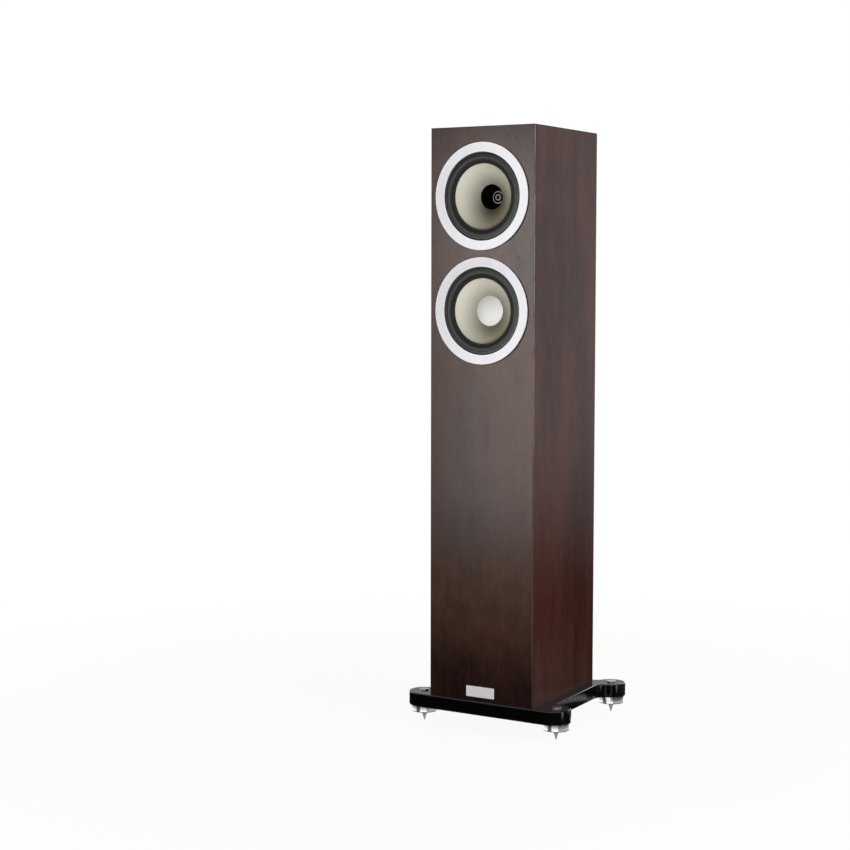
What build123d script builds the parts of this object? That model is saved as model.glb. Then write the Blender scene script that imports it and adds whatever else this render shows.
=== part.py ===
"""A floorstanding two-way loudspeaker with a coaxial driver, on an outrigger plinth with spikes.

Millimetres. The origin is on the floor at the middle of the footprint, +Z is up, the baffle faces -Y and
+X is to the right of someone who stands in front. A setback is a distance behind the baffle's face.
"""
from build123d import *
from math import asin, atan, cos, hypot, radians, sin
import os

# ---- cabinet ----
CABINET_HEIGHT = 905.0
FRONT_WIDTH = 190.0
BACK_WIDTH = 146.0
CABINET_DEPTH = 240.0
BAFFLE_THICKNESS = 22.0
WALL = 15.0
BACK_THICKNESS = 18.0
END_THICKNESS = 18.0
UPRIGHT_EDGE_RADIUS = 2.0
TOP_EDGE_RADIUS = 0.8
BRACE_THICKNESS = 15.0
BRACE_DROPS = (197.5, 384.5, 534.5)
BRACE_RAIL = 12.0
BRACE_FRONT_RAIL = 25.0
BRACE_CORNER = 8.0
PAD_THICKNESS = 12.0
PAD_FRONT_SETBACK = 60.0
PAD_BACK_SETBACK = 172.0
PAD_END_GAP = 10.0
BADGE_WIDTH = 51.0
BADGE_HEIGHT = 17.0
BADGE_THICKNESS = 1.2
BADGE_LIFT = 15.5
BADGE_CORNER = 1.0
BADGE_EDGE = 0.4
CUTTER_OVERRUN = 1.0

# ---- plinth and feet ----
PLINTH_THICKNESS = 22.0
PLINTH_LEAD = 3.0
PLINTH_MARGIN = 18.5
PLINTH_REAR_MARGIN = 10.0
LOBE_RADIUS = 23.5
FRONT_SPIKE_OUTSET = 28.0
FRONT_SPIKE_SETBACK = 27.0
REAR_SPIKE_OUTSET = 29.0
REAR_SPIKE_BEHIND = 10.0
FRONT_BLEND = 12.0
REAR_BLEND = 20.0
TAIL_BLEND = 14.0
PLINTH_EDGE = 1.5
SPIKE_RADIUS = 4.0
SPIKE_POINT_HEIGHT = 11.5
SPIKE_TIP_RADIUS = 0.6
SPIKE_CLEARANCE = 0.05
LOCK_RING_RADIUS = 20.7
LOCK_RING_HEIGHT = 12.0
LOCK_RING_EDGE = 1.5
LOCK_RING_LIFT = 15.5
INSERT_RADIUS = 6.0
INSERT_FLANGE_RADIUS = 7.4
INSERT_FLANGE_THICKNESS = 1.5
CAP_RADIUS = 7.7
CAP_HEIGHT = 2.2
CAP_EDGE = 0.8
CAP_SPIGOT_DEPTH = 3.0
KEY_RADIUS = 2.3
KEY_DEPTH = 6.0
BOLT_RADIUS = 3.0
BOLT_HEAD_RADIUS = 5.5
BOLT_HEAD_HEIGHT = 6.0
BOLT_GRIP = 12.0
BOLT_INSET = 40.0
BOLT_CLEARANCE = 0.05

# ---- drive units ----
UPPER_DROP = 108.5
DRIVER_SPACING = 178.0
FLANGE_RADIUS = 82.0
FLANGE_THICKNESS = 4.0
FLANGE_FIT = 0.3
GASKET_THICKNESS = 1.0
BASKET_RADIUS = 71.2
BASKET_WALL = 3.0
BASKET_DEPTH = 53.0
BASKET_SHOULDER = 8.0
MOTOR_SEAT_RADIUS = 46.5
MOTOR_SEAT_THICKNESS = 3.0
MOTOR_SEAT_BORE = 26.0
SPIDER_SEAT_DEPTH = 42.5
SPIDER_SEAT_BORE = 40.0
SPIDER_THICKNESS = 0.8
SURROUND_SEAT_DEPTH = 3.4
SURROUND_SEAT_BORE = 66.5
SURROUND_SEAT_WALL = 2.3
ARM_COUNT = 6
ARM_ANGLE = 20.0
ARM_START = 45.0
WINDOW_TOP = 11.0
WINDOW_BOTTOM = 37.0
RIB_THICKNESS = 3.0
RIB_HEIGHT = 3.5
TAG_WIDTH = 12.0
TAG_LENGTH = 9.0
TAG_RADIUS = 62.2
TAG_THICKNESS = 8.0
TAG_DEPTH = 21.0
SCREW_RADIUS = 2.0
SCREW_HEAD_RADIUS = 3.8
SCREW_HEAD_HEIGHT = 1.9
SCREW_LENGTH = 19.0
SCREW_CIRCLE_RADIUS = 77.0
SCREW_CLEARANCE = 0.05
TRIM_RADIUS = 84.0
TRIM_BORE = 68.4
TRIM_PROUD = 3.0
TRIM_INNER_PROUD = 1.7
TRIM_EDGE = 0.9
ROLL_OUTER = 67.4
ROLL_INNER = 54.0
ROLL_PEAK = 1.4
SURROUND_LAND_RADIUS = 69.6
SURROUND_THICKNESS = 1.0
SOFT_GAP = 0.3
NECK_FIT = 0.05
CONE_VISIBLE_RADIUS = 51.0
CONE_LIP_RADIUS = 53.6
CONE_THICKNESS = 0.7
CONE_MIDDLE_WALL = 0.98
CONE_NECK_WALL = 1.4
CONE_NECK_DEPTH = 29.5
CONE_FLARE = 2.2
FORMER_RADIUS = 19.2
FORMER_WALL = 0.4
FORMER_FRONT = 28.6
FORMER_BACK = 66.0
WINDING_THICKNESS = 0.9
WINDING_FRONT = 51.0
WINDING_BACK = 61.0
MAGNETIC_GAP = 0.5
TOP_PLATE_RADIUS = 44.0
TOP_PLATE_THICKNESS = 6.0
MAGNET_RADIUS = 47.0
MAGNET_CLEARANCE = 3.5
MAGNET_THICKNESS = 18.0
YOKE_THICKNESS = 6.0
DUST_CAP_RADIUS = 23.7
DUST_CAP_RISE = 5.5
DUST_CAP_THICKNESS = 0.7
DUST_CAP_LIFT = 0.15
POLE_FRONT = 52.0
WAVEGUIDE_FRONT = 32.0
WAVEGUIDE_MOUTH = 18.0
WAVEGUIDE_THROAT = 12.9
WAVEGUIDE_BOW = 1.0
PLUG_FRONT = 48.0
PLUG_DEPTH = 3.0
PLUG_OUTER_RING = 9.8
PLUG_OUTER_WIDTH = 1.5
PLUG_INNER_RING = 4.9
PLUG_INNER_WIDTH = 1.7
PLUG_WEB = 0.8
PLUG_WEB_COUNT = 3
PLUG_WEB_START = 90.0
PLUG_EDGE = 0.45
DOME_RADIUS = 12.2
DOME_RISE = 3.2
DOME_THICKNESS = 0.4
DOME_RIM_DEPTH = 55.2
DOME_SKIRT = 4.0
CAPSULE_FRONT = 56.0
CAPSULE_RADIUS = 13.9
CAPSULE_FLANGE_RADIUS = 20.0
CAPSULE_FLANGE_THICKNESS = 4.0
CAPSULE_GROOVE_DEPTH = 6.0
CAPSULE_GROOVE_SPACE = 0.5

# ---- back of the cabinet ----
PORT_LIFT = 470.0
PORT_RADIUS = 25.0
PORT_WALL = 2.5
PORT_LENGTH = 110.0
PORT_FLARE = 9.0
PORT_RIM_THICKNESS = 3.0
PORT_RIM_RADIUS = 42.0
PORT_RIM_EDGE = 1.6
PORT_FIT = 0.2
TERMINAL_LIFT = 115.5
TERMINAL_WIDTH = 126.0
TERMINAL_HEIGHT = 100.0
TERMINAL_FLANGE = 3.0
TERMINAL_CORNER = 10.0
TERMINAL_EDGE = 1.2
DISH_WIDTH = 96.0
DISH_HEIGHT = 72.0
DISH_DEPTH = 21.0
DISH_CORNER = 8.0
DISH_DRAFT = 5.0
DISH_WALL = 2.5
DISH_FIT = 0.3
POST_PITCH_X = 38.0
POST_PITCH_Z = 28.0
STEM_RADIUS = 3.0
PLUG_BORE_RADIUS = 2.0
PLUG_BORE_DEPTH = 15.0
STEM_TAIL = 14.0
STEM_COLLAR_RADIUS = 5.5
STEM_COLLAR_THICKNESS = 3.0
LINK_THICKNESS = 1.0
LINK_WIDTH = 8.4
LINK_FIT = 0.3
POST_CAP_RADIUS = 7.2
POST_CAP_LENGTH = 16.0
POST_CAP_FACETS = 16
POST_CAP_EDGE = 1.2
POST_CAP_END = 1.4
POST_CAP_MOUTH = 2.6
POST_CAP_FIT = 0.05
TERMINAL_SCREW_INSET = 7.0

# ---- crossover and wiring ----
BOARD_WIDTH = 84.0
BOARD_HEIGHT = 140.0
BOARD_THICKNESS = 1.6
BOARD_LIFT = 185.0
BOARD_STANDOFF = 8.0
STANDOFF_RADIUS = 4.0
STANDOFF_INSET = 8.0
BLOCK_WIDTH = 60.0
BLOCK_HEIGHT = 12.0
BLOCK_DEPTH = 22.0
COIL_RADIUS = 18.0
COIL_BORE = 7.0
COIL_LENGTH = 18.0
COIL_PITCH = 40.0
CAPACITOR_RADIUS = 8.0
CAPACITOR_LENGTH = 30.0
CAPACITOR_PITCH = 18.0
CAPACITOR_ROWS = 2
RESISTOR_SIZE = 8.0
RESISTOR_LENGTH = 26.0
RESISTOR_PITCH = 24.0
PART_GAP = 0.1
COMPONENT_SPACE = 2.0
WIRE_RADIUS = 1.8
WIRE_X = 38.0
OUTER_WIRE_X = 46.0
WIRE_BEND = 40.0
TAIL_BEND = 5.0
TAIL_STUB = 1.0
TAIL_SPACING = 5.4

# ---- places worked out from the sizes above ----
FOOT_BOTTOM = LOCK_RING_LIFT
PLINTH_BOTTOM = FOOT_BOTTOM + LOCK_RING_HEIGHT
CABINET_BOTTOM = PLINTH_BOTTOM + PLINTH_THICKNESS
CABINET_TOP = CABINET_BOTTOM + CABINET_HEIGHT
REAR_SPIKE_SETBACK = CABINET_DEPTH + REAR_SPIKE_BEHIND
FOOTPRINT_BACK = REAR_SPIKE_SETBACK + LOBE_RADIUS
BAFFLE_Y = -(FOOTPRINT_BACK - PLINTH_LEAD) / 2
TAPER = (FRONT_WIDTH - BACK_WIDTH) / (2 * CABINET_DEPTH)
TAPER_ANGLE = atan(TAPER)
INSIDE_BACK = CABINET_DEPTH - BACK_THICKNESS
UPPER_Z = CABINET_TOP - UPPER_DROP
LOWER_Z = UPPER_Z - DRIVER_SPACING
PORT_Z = CABINET_BOTTOM + PORT_LIFT
TERMINAL_Z = CABINET_BOTTOM + TERMINAL_LIFT
BOARD_Z = CABINET_BOTTOM + BOARD_LIFT
BOARD_BACK = INSIDE_BACK - BOARD_STANDOFF
BOARD_FRONT = BOARD_BACK - BOARD_THICKNESS
POLE_RADIUS = FORMER_RADIUS - MAGNETIC_GAP
FORMER_OUTSIDE = FORMER_RADIUS + FORMER_WALL
WINDING_RADIUS = FORMER_OUTSIDE + WINDING_THICKNESS
MAGNET_BORE = WINDING_RADIUS + MAGNET_CLEARANCE
MAGNET_FRONT = BASKET_DEPTH + TOP_PLATE_THICKNESS
YOKE_FRONT = MAGNET_FRONT + MAGNET_THICKNESS
YOKE_BACK = YOKE_FRONT + YOKE_THICKNESS
DISH_FLOOR = CABINET_DEPTH + TERMINAL_FLANGE - DISH_DEPTH
STEM_COLLAR_BACK = DISH_FLOOR + STEM_COLLAR_THICKNESS
CAP_FRONT = STEM_COLLAR_BACK + LINK_THICKNESS
STEM_END = CAP_FRONT + POST_CAP_LENGTH - POST_CAP_END - PART_GAP
SIDES = {"left": -1, "right": 1}
EIGHTH_TURN = radians(45)


def y_at(setback):
    """The row's Y at a distance behind the baffle's face."""
    return BAFFLE_Y + setback


def half_width(setback):
    """Half of the cabinet's outside width at a setback."""
    return FRONT_WIDTH / 2 - TAPER * setback


def inside_half_width(setback):
    """Half of the clear width between the side panels at a setback."""
    return half_width(setback) - WALL / cos(TAPER_ANGLE)


def turned(*corners):
    """A solid turned about the local Z axis from a closed outline of (radius, depth) corners."""
    return revolve(Plane.XZ * make_face(Polyline(*corners, close=True)), Axis.Z)


def turned_outline(*edges):
    """A solid turned about the local Z axis from connected lines and arcs in (radius, depth)."""
    return revolve(Plane.XZ * make_face(Wire(list(edges))), Axis.Z)


def disc(radius, start, end):
    """A plain round of a radius between two local depths."""
    return Pos(0, 0, start) * Cylinder(radius, end - start, align=(Align.CENTER, Align.CENTER, Align.MIN))


def tube(outer, bore, start, end):
    """A ring between two radii and two local depths."""
    return disc(outer, start, end) - disc(bore, start, end)


def block(x_size, y_size, z_size):
    """A box centred in X and Z that starts at local Y zero."""
    return Box(x_size, y_size, z_size, align=(Align.CENTER, Align.MIN, Align.CENTER))


def facing_back(z, setback=0.0):
    """A plane whose local Z runs from front to back, centred on the cabinet at a height."""
    return Plane(origin=(0, y_at(setback), z), x_dir=(1, 0, 0), z_dir=(0, 1, 0))


def plan_corners(front, back, reach):
    """The four corners of a tapering plan between two setbacks, for a half-width function."""
    return [
        (-reach(front), y_at(front)),
        (reach(front), y_at(front)),
        (reach(back), y_at(back)),
        (-reach(back), y_at(back)),
    ]


def upright_prism(corners, bottom, top):
    """The prism over a plan outline between two heights."""
    return Pos(0, 0, bottom) * extrude(make_face(Polyline(*corners, close=True)), top - bottom)


# ---- cabinet ----

def rounded_box():
    """The outside of the cabinet with its small edge rounds."""
    box = upright_prism(plan_corners(0, CABINET_DEPTH, half_width), CABINET_BOTTOM, CABINET_TOP)
    box = fillet(box.edges().filter_by(Axis.Z), UPRIGHT_EDGE_RADIUS)
    return fillet(box.faces().sort_by(Axis.Z)[-1].edges(), TOP_EDGE_RADIUS)


def mitred_boards():
    """The six boards of the cabinet, each mitred to its four neighbours on every edge."""
    outer_plan = plan_corners(0, CABINET_DEPTH, half_width)
    inner_plan = plan_corners(BAFFLE_THICKNESS, INSIDE_BACK, inside_half_width)
    inner_bottom = CABINET_BOTTOM + END_THICKNESS
    inner_top = CABINET_TOP - END_THICKNESS
    shell = rounded_box()
    boards = {}

    def board(outside, inside):
        sections = [Face(Wire.make_polygon(points)) for points in (outside, inside)]
        return loft(sections, ruled=True) & shell

    for k, name in enumerate(("front_baffle", "right_side", "back_panel", "left_side")):
        a, b = outer_plan[k], outer_plan[(k + 1) % 4]
        c, d = inner_plan[k], inner_plan[(k + 1) % 4]
        outside = [(*a, CABINET_BOTTOM), (*b, CABINET_BOTTOM), (*b, CABINET_TOP), (*a, CABINET_TOP)]
        inside = [(*c, inner_bottom), (*d, inner_bottom), (*d, inner_top), (*c, inner_top)]
        boards[name] = board(outside, inside)
    for name, outer_z, inner_z in (
        ("bottom_panel", CABINET_BOTTOM, inner_bottom),
        ("top_panel", CABINET_TOP, inner_top),
    ):
        outside = [(*point, outer_z) for point in outer_plan]
        inside = [(*point, inner_z) for point in inner_plan]
        boards[name] = board(outside, inside)
    return boards


def driver_cutout():
    """The stepped hole of a drive unit, with the pilot holes of its screws."""
    rebate_depth = FLANGE_THICKNESS + GASKET_THICKNESS
    cut = disc(FLANGE_RADIUS + FLANGE_FIT, -CUTTER_OVERRUN, rebate_depth)
    cut += disc(BASKET_RADIUS + FLANGE_FIT, 0, BAFFLE_THICKNESS + CUTTER_OVERRUN)
    return cut + screw_holes(SCREW_LENGTH + SCREW_CLEARANCE)


def screw_places():
    """Where the screws of a drive unit stand, one on each arm of its basket."""
    return PolarLocations(SCREW_CIRCLE_RADIUS, ARM_COUNT, ARM_START)


def screw_holes(depth):
    """The clearance round the screws of a drive unit down to a depth."""
    hole = disc(SCREW_RADIUS + SCREW_CLEARANCE, 0, depth)
    return Compound([place * hole for place in screw_places()])


def braces():
    """The window braces that tie the four walls together at three heights."""
    frames = []
    for drop in BRACE_DROPS:
        top = CABINET_TOP - drop + BRACE_THICKNESS / 2
        bottom = top - BRACE_THICKNESS
        plate = upright_prism(plan_corners(BAFFLE_THICKNESS, INSIDE_BACK, inside_half_width), bottom, top)
        window = upright_prism(
            plan_corners(
                BAFFLE_THICKNESS + BRACE_FRONT_RAIL,
                INSIDE_BACK - BRACE_RAIL,
                lambda setback: inside_half_width(setback) - BRACE_RAIL,
            ),
            bottom,
            top,
        )
        frames.append(plate - fillet(window.edges().filter_by(Axis.Z), BRACE_CORNER))
    return frames


def damping_pads():
    """Foam pads on the side walls, one in each bay between the braces."""
    levels = [CABINET_TOP - drop for drop in BRACE_DROPS]
    tops = [CABINET_TOP - END_THICKNESS] + [level - BRACE_THICKNESS / 2 for level in levels]
    bottoms = [level + BRACE_THICKNESS / 2 for level in levels] + [CABINET_BOTTOM + END_THICKNESS]
    pads = []
    for side in SIDES.values():
        for top, bottom in zip(tops, bottoms):
            corners = []
            for setback, depth in (
                (PAD_FRONT_SETBACK, 0),
                (PAD_BACK_SETBACK, 0),
                (PAD_BACK_SETBACK, PAD_THICKNESS),
                (PAD_FRONT_SETBACK, PAD_THICKNESS),
            ):
                corners.append((side * (inside_half_width(setback) - depth), y_at(setback)))
            pads.append(upright_prism(corners, bottom + PAD_END_GAP, top - PAD_END_GAP))
    return pads


def badge_plate():
    """The bare metal plate low on the baffle."""
    place = Pos(0, y_at(-BADGE_THICKNESS), CABINET_BOTTOM + BADGE_LIFT)
    plate = place * block(BADGE_WIDTH, BADGE_THICKNESS, BADGE_HEIGHT)
    plate = fillet(plate.edges().filter_by(Axis.Y), BADGE_CORNER)
    return fillet(plate.faces().sort_by(Axis.Y)[0].edges(), BADGE_EDGE)


# ---- plinth and feet ----

def spike_places():
    """The four spike axes, by name."""
    places = {}
    for side, sign in SIDES.items():
        places[f"front_{side}"] = (sign * (FRONT_WIDTH / 2 + FRONT_SPIKE_OUTSET), y_at(FRONT_SPIKE_SETBACK))
        places[f"rear_{side}"] = (sign * (BACK_WIDTH / 2 + REAR_SPIKE_OUTSET), y_at(REAR_SPIKE_SETBACK))
    return places


def bolt_places():
    """The bolts that hold the cabinet on its plinth."""
    places = []
    for setback in (BOLT_INSET, CABINET_DEPTH - BOLT_INSET):
        reach = half_width(setback) - BOLT_INSET
        places += [(-reach, y_at(setback)), (reach, y_at(setback))]
    return places


def middle_of(first, second):
    """The point halfway between two points."""
    return ((first[0] + second[0]) / 2, (first[1] + second[1]) / 2)


def toward(centre, other, distance):
    """The point at a distance from a centre on the way to another point."""
    dx, dy = other[0] - centre[0], other[1] - centre[1]
    reach = hypot(dx, dy)
    return (centre[0] + dx / reach * distance, centre[1] + dy / reach * distance)


def side_blend(lobe, blend, direction):
    """The hollow round between a lobe and the plinth's side edge.

    The side edge runs parallel to the cabinet's side. The round touches it and the lobe from outside;
    direction is 1 for a round behind its lobe and -1 for one ahead. Returns the round's centre and the
    points where it meets the edge and the lobe.
    """
    along = (-sin(TAPER_ANGLE), cos(TAPER_ANGLE))
    out = (along[1], -along[0])
    anchor_x = half_width(0) + PLINTH_MARGIN
    start = (anchor_x + out[0] * blend, y_at(0) + out[1] * blend)
    gap = (start[0] - lobe[0], start[1] - lobe[1])
    middle = gap[0] * along[0] + gap[1] * along[1]
    across = gap[0] * out[0] + gap[1] * out[1]
    travel = direction * ((LOBE_RADIUS + blend) ** 2 - across**2) ** 0.5 - middle
    centre = (start[0] + along[0] * travel, start[1] + along[1] * travel)
    on_edge = (centre[0] - out[0] * blend, centre[1] - out[1] * blend)
    return centre, on_edge, toward(lobe, centre, LOBE_RADIUS)


def tail_blend(lobe, back_y):
    """The hollow round between a rear lobe and the plinth's back edge, as side_blend gives it."""
    centre_y = back_y + TAIL_BLEND
    centre_x = lobe[0] - ((LOBE_RADIUS + TAIL_BLEND) ** 2 - (centre_y - lobe[1]) ** 2) ** 0.5
    centre = (centre_x, centre_y)
    return centre, (centre_x, back_y), toward(lobe, centre, LOBE_RADIUS)


def round_arc(centre, start, end):
    """The shorter arc about a centre from one point to another."""
    radius = hypot(start[0] - centre[0], start[1] - centre[1])
    return ThreePointArc(start, toward(centre, middle_of(start, end), radius), end)


def plinth_half():
    """The right half of the plinth's plan, from its front edge round both lobes to its back edge."""
    places = spike_places()
    front, rear = places["front_right"], places["rear_right"]
    front_y, back_y = y_at(-PLINTH_LEAD), y_at(CABINET_DEPTH + PLINTH_REAR_MARGIN)
    nose = (front[0] + LOBE_RADIUS, front[1])
    corner = front[1] - front_y
    corner_centre = (nose[0] - corner, front[1])
    front_round, front_edge, front_lobe = side_blend(front, FRONT_BLEND, 1)
    rear_round, rear_edge, rear_lobe = side_blend(rear, REAR_BLEND, -1)
    tail_round, tail_edge, tail_lobe = tail_blend(rear, back_y)
    far_side = (rear[0] + LOBE_RADIUS * cos(EIGHTH_TURN), rear[1] + LOBE_RADIUS * sin(EIGHTH_TURN))
    edges = [
        Line((0, front_y), (corner_centre[0], front_y)),
        round_arc(corner_centre, (corner_centre[0], front_y), nose),
        round_arc(front, nose, front_lobe),
        round_arc(front_round, front_lobe, front_edge),
        Line(front_edge, rear_edge),
        round_arc(rear_round, rear_edge, rear_lobe),
        ThreePointArc(rear_lobe, far_side, tail_lobe),
        round_arc(tail_round, tail_lobe, tail_edge),
        Line(tail_edge, (0, back_y)),
        Line((0, back_y), (0, front_y)),
    ]
    return make_face(Wire(edges))


def plinth():
    """The outrigger plinth, bored for the spike inserts and the cabinet's bolts."""
    half = extrude(Pos(0, 0, PLINTH_BOTTOM) * plinth_half(), PLINTH_THICKNESS)
    body = half + mirror(half, about=Plane.YZ)
    for level in (-1, 0):
        body = fillet(body.faces().sort_by(Axis.Z)[level].edges(), PLINTH_EDGE)
    for x, y in spike_places().values():
        body -= Pos(x, y, 0) * insert_room()
    for x, y in bolt_places():
        body -= Pos(x, y, PLINTH_BOTTOM) * bolt_room()
    return body


def insert_room():
    """The stepped bore in a lobe that takes a threaded insert and the cap above it."""
    room = disc(INSERT_RADIUS, PLINTH_BOTTOM, CABINET_BOTTOM)
    depth = INSERT_FLANGE_THICKNESS
    return room + disc(INSERT_FLANGE_RADIUS, CABINET_BOTTOM - depth, CABINET_BOTTOM)


def spike_insert():
    """A threaded insert with a flange that lies flush with the top of the lobe."""
    body = disc(INSERT_RADIUS, PLINTH_BOTTOM, CABINET_BOTTOM)
    body += disc(INSERT_FLANGE_RADIUS, CABINET_BOTTOM - INSERT_FLANGE_THICKNESS, CABINET_BOTTOM)
    return body - disc(SPIKE_RADIUS + SPIKE_CLEARANCE, PLINTH_BOTTOM, CABINET_BOTTOM)


def insert_cap():
    """The bright cap that closes an insert, with a spigot in its bore."""
    head = disc(CAP_RADIUS, CABINET_BOTTOM, CABINET_BOTTOM + CAP_HEIGHT)
    head = fillet(head.edges().sort_by(Axis.Z)[-1], CAP_EDGE)
    return head + disc(SPIKE_RADIUS - SPIKE_CLEARANCE, CABINET_BOTTOM - CAP_SPIGOT_DEPTH, CABINET_BOTTOM)


def spike():
    """A threaded spike with a conical point and a key socket in its upper end."""
    top = CABINET_BOTTOM - CAP_SPIGOT_DEPTH
    stud = turned(
        (0, 0),
        (SPIKE_TIP_RADIUS, 0),
        (SPIKE_RADIUS, SPIKE_POINT_HEIGHT),
        (SPIKE_RADIUS, top),
        (0, top),
    )
    socket = extrude(RegularPolygon(KEY_RADIUS, 6), KEY_DEPTH)
    return stud - Pos(0, 0, top - KEY_DEPTH) * socket


def lock_ring():
    """The polished disc that locks a spike against the underside of its lobe."""
    ring = tube(LOCK_RING_RADIUS, SPIKE_RADIUS + SPIKE_CLEARANCE, FOOT_BOTTOM, PLINTH_BOTTOM)
    rim = ring.edges().filter_by(GeomType.CIRCLE).group_by(SortBy.RADIUS)[-1]
    return fillet(rim.sort_by(Axis.Z)[0], LOCK_RING_EDGE)


def bolt_room():
    """The counterbore and clearance hole of a plinth bolt, up from the plinth's underside."""
    room = disc(BOLT_HEAD_RADIUS + BOLT_CLEARANCE, 0, BOLT_HEAD_HEIGHT)
    return room + disc(BOLT_RADIUS + BOLT_CLEARANCE, 0, PLINTH_THICKNESS)


def plinth_bolt():
    """A socket-head bolt from the plinth up into the cabinet's bottom panel."""
    bolt = disc(BOLT_HEAD_RADIUS, 0, BOLT_HEAD_HEIGHT)
    bolt += disc(BOLT_RADIUS, BOLT_HEAD_HEIGHT, PLINTH_THICKNESS + BOLT_GRIP)
    socket = extrude(RegularPolygon(BOLT_RADIUS, 6), BOLT_HEAD_HEIGHT / 2)
    return bolt - socket


# ---- drive units, in a local frame whose Z is the depth behind the baffle's face ----

def trim_ring():
    """The dished bright ring that covers the flange."""
    ring = turned(
        (TRIM_BORE, 0),
        (TRIM_RADIUS, 0),
        (TRIM_RADIUS, -TRIM_PROUD),
        (TRIM_BORE, -TRIM_INNER_PROUD),
    )
    front_edges = ring.edges().filter_by(GeomType.CIRCLE).filter_by(lambda edge: edge.center().Z < 0)
    return fillet(front_edges, TRIM_EDGE)


def chassis():
    """The cast basket: flange, six ribbed arms, spider ledge, motor seat and solder tag."""
    wall_slope = (BASKET_RADIUS - MOTOR_SEAT_RADIUS) / (SPIDER_SEAT_DEPTH + BASKET_WALL - BASKET_SHOULDER)
    ledge_back = SPIDER_SEAT_DEPTH + BASKET_WALL
    inner_top = BASKET_RADIUS - BASKET_WALL
    ledge_radius = inner_top - wall_slope * (SPIDER_SEAT_DEPTH - BASKET_SHOULDER)
    seat_lip = SURROUND_LAND_RADIUS + SOFT_GAP
    basket = turned(
        (seat_lip, 0),
        (seat_lip, SURROUND_SEAT_DEPTH),
        (SURROUND_SEAT_BORE, SURROUND_SEAT_DEPTH),
        (SURROUND_SEAT_BORE, SURROUND_SEAT_DEPTH + SURROUND_SEAT_WALL),
        (inner_top, BASKET_SHOULDER),
        (ledge_radius, SPIDER_SEAT_DEPTH),
        (SPIDER_SEAT_BORE, SPIDER_SEAT_DEPTH),
        (SPIDER_SEAT_BORE, ledge_back),
        (MOTOR_SEAT_RADIUS - BASKET_WALL, ledge_back),
        (MOTOR_SEAT_RADIUS - BASKET_WALL, BASKET_DEPTH - MOTOR_SEAT_THICKNESS),
        (MOTOR_SEAT_BORE, BASKET_DEPTH - MOTOR_SEAT_THICKNESS),
        (MOTOR_SEAT_BORE, BASKET_DEPTH),
        (MOTOR_SEAT_RADIUS, BASKET_DEPTH),
        (MOTOR_SEAT_RADIUS, ledge_back),
        (BASKET_RADIUS, BASKET_SHOULDER),
        (BASKET_RADIUS, FLANGE_THICKNESS),
        (FLANGE_RADIUS, FLANGE_THICKNESS),
        (FLANGE_RADIUS, 0),
    )
    opening = Polyline(
        (SPIDER_SEAT_BORE, WINDOW_TOP),
        (FLANGE_RADIUS, WINDOW_TOP),
        (FLANGE_RADIUS, WINDOW_BOTTOM),
        (SPIDER_SEAT_BORE, WINDOW_BOTTOM),
        close=True,
    )
    sector = 360 / ARM_COUNT - ARM_ANGLE
    window = revolve(Plane.XZ * make_face(opening), Axis.Z, revolution_arc=sector)
    rib_outline = Polyline(
        (inner_top, BASKET_SHOULDER),
        (BASKET_RADIUS, BASKET_SHOULDER),
        (MOTOR_SEAT_RADIUS + RIB_HEIGHT, ledge_back),
        (MOTOR_SEAT_RADIUS, BASKET_DEPTH),
        (MOTOR_SEAT_RADIUS - BASKET_WALL / 2, BASKET_DEPTH),
        (MOTOR_SEAT_RADIUS - BASKET_WALL / 2, ledge_back),
        close=True,
    )
    rib = extrude(Plane.XZ * make_face(rib_outline), RIB_THICKNESS / 2, both=True)
    for k in range(ARM_COUNT):
        turn = ARM_START + k * 360 / ARM_COUNT
        basket -= Rot(0, 0, turn + ARM_ANGLE / 2) * window
        basket += Rot(0, 0, turn) * rib
    tag = Box(TAG_THICKNESS, TAG_WIDTH, TAG_LENGTH, align=(Align.CENTER, Align.CENTER, Align.MIN))
    basket += Rot(0, 0, ARM_START) * Pos(TAG_RADIUS, 0, TAG_DEPTH) * tag
    head = turned(
        (0, 0),
        (SCREW_HEAD_RADIUS + SCREW_CLEARANCE, 0),
        (SCREW_RADIUS + SCREW_CLEARANCE, SCREW_HEAD_HEIGHT),
        (0, SCREW_HEAD_HEIGHT),
    )
    basket -= screw_holes(FLANGE_THICKNESS)
    return basket - Compound([place * head for place in screw_places()])


def gasket():
    """The rubber gasket between the flange and the baffle's rebate."""
    back = FLANGE_THICKNESS + GASKET_THICKNESS
    ring = tube(FLANGE_RADIUS, BASKET_RADIUS + FLANGE_FIT, FLANGE_THICKNESS, back)
    return ring - screw_holes(back)


def countersunk_screw():
    """A countersunk screw that starts flush at depth zero."""
    return turned(
        (0, 0),
        (SCREW_HEAD_RADIUS, 0),
        (SCREW_RADIUS, SCREW_HEAD_HEIGHT),
        (SCREW_RADIUS, SCREW_LENGTH),
        (0, SCREW_LENGTH),
    )


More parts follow.
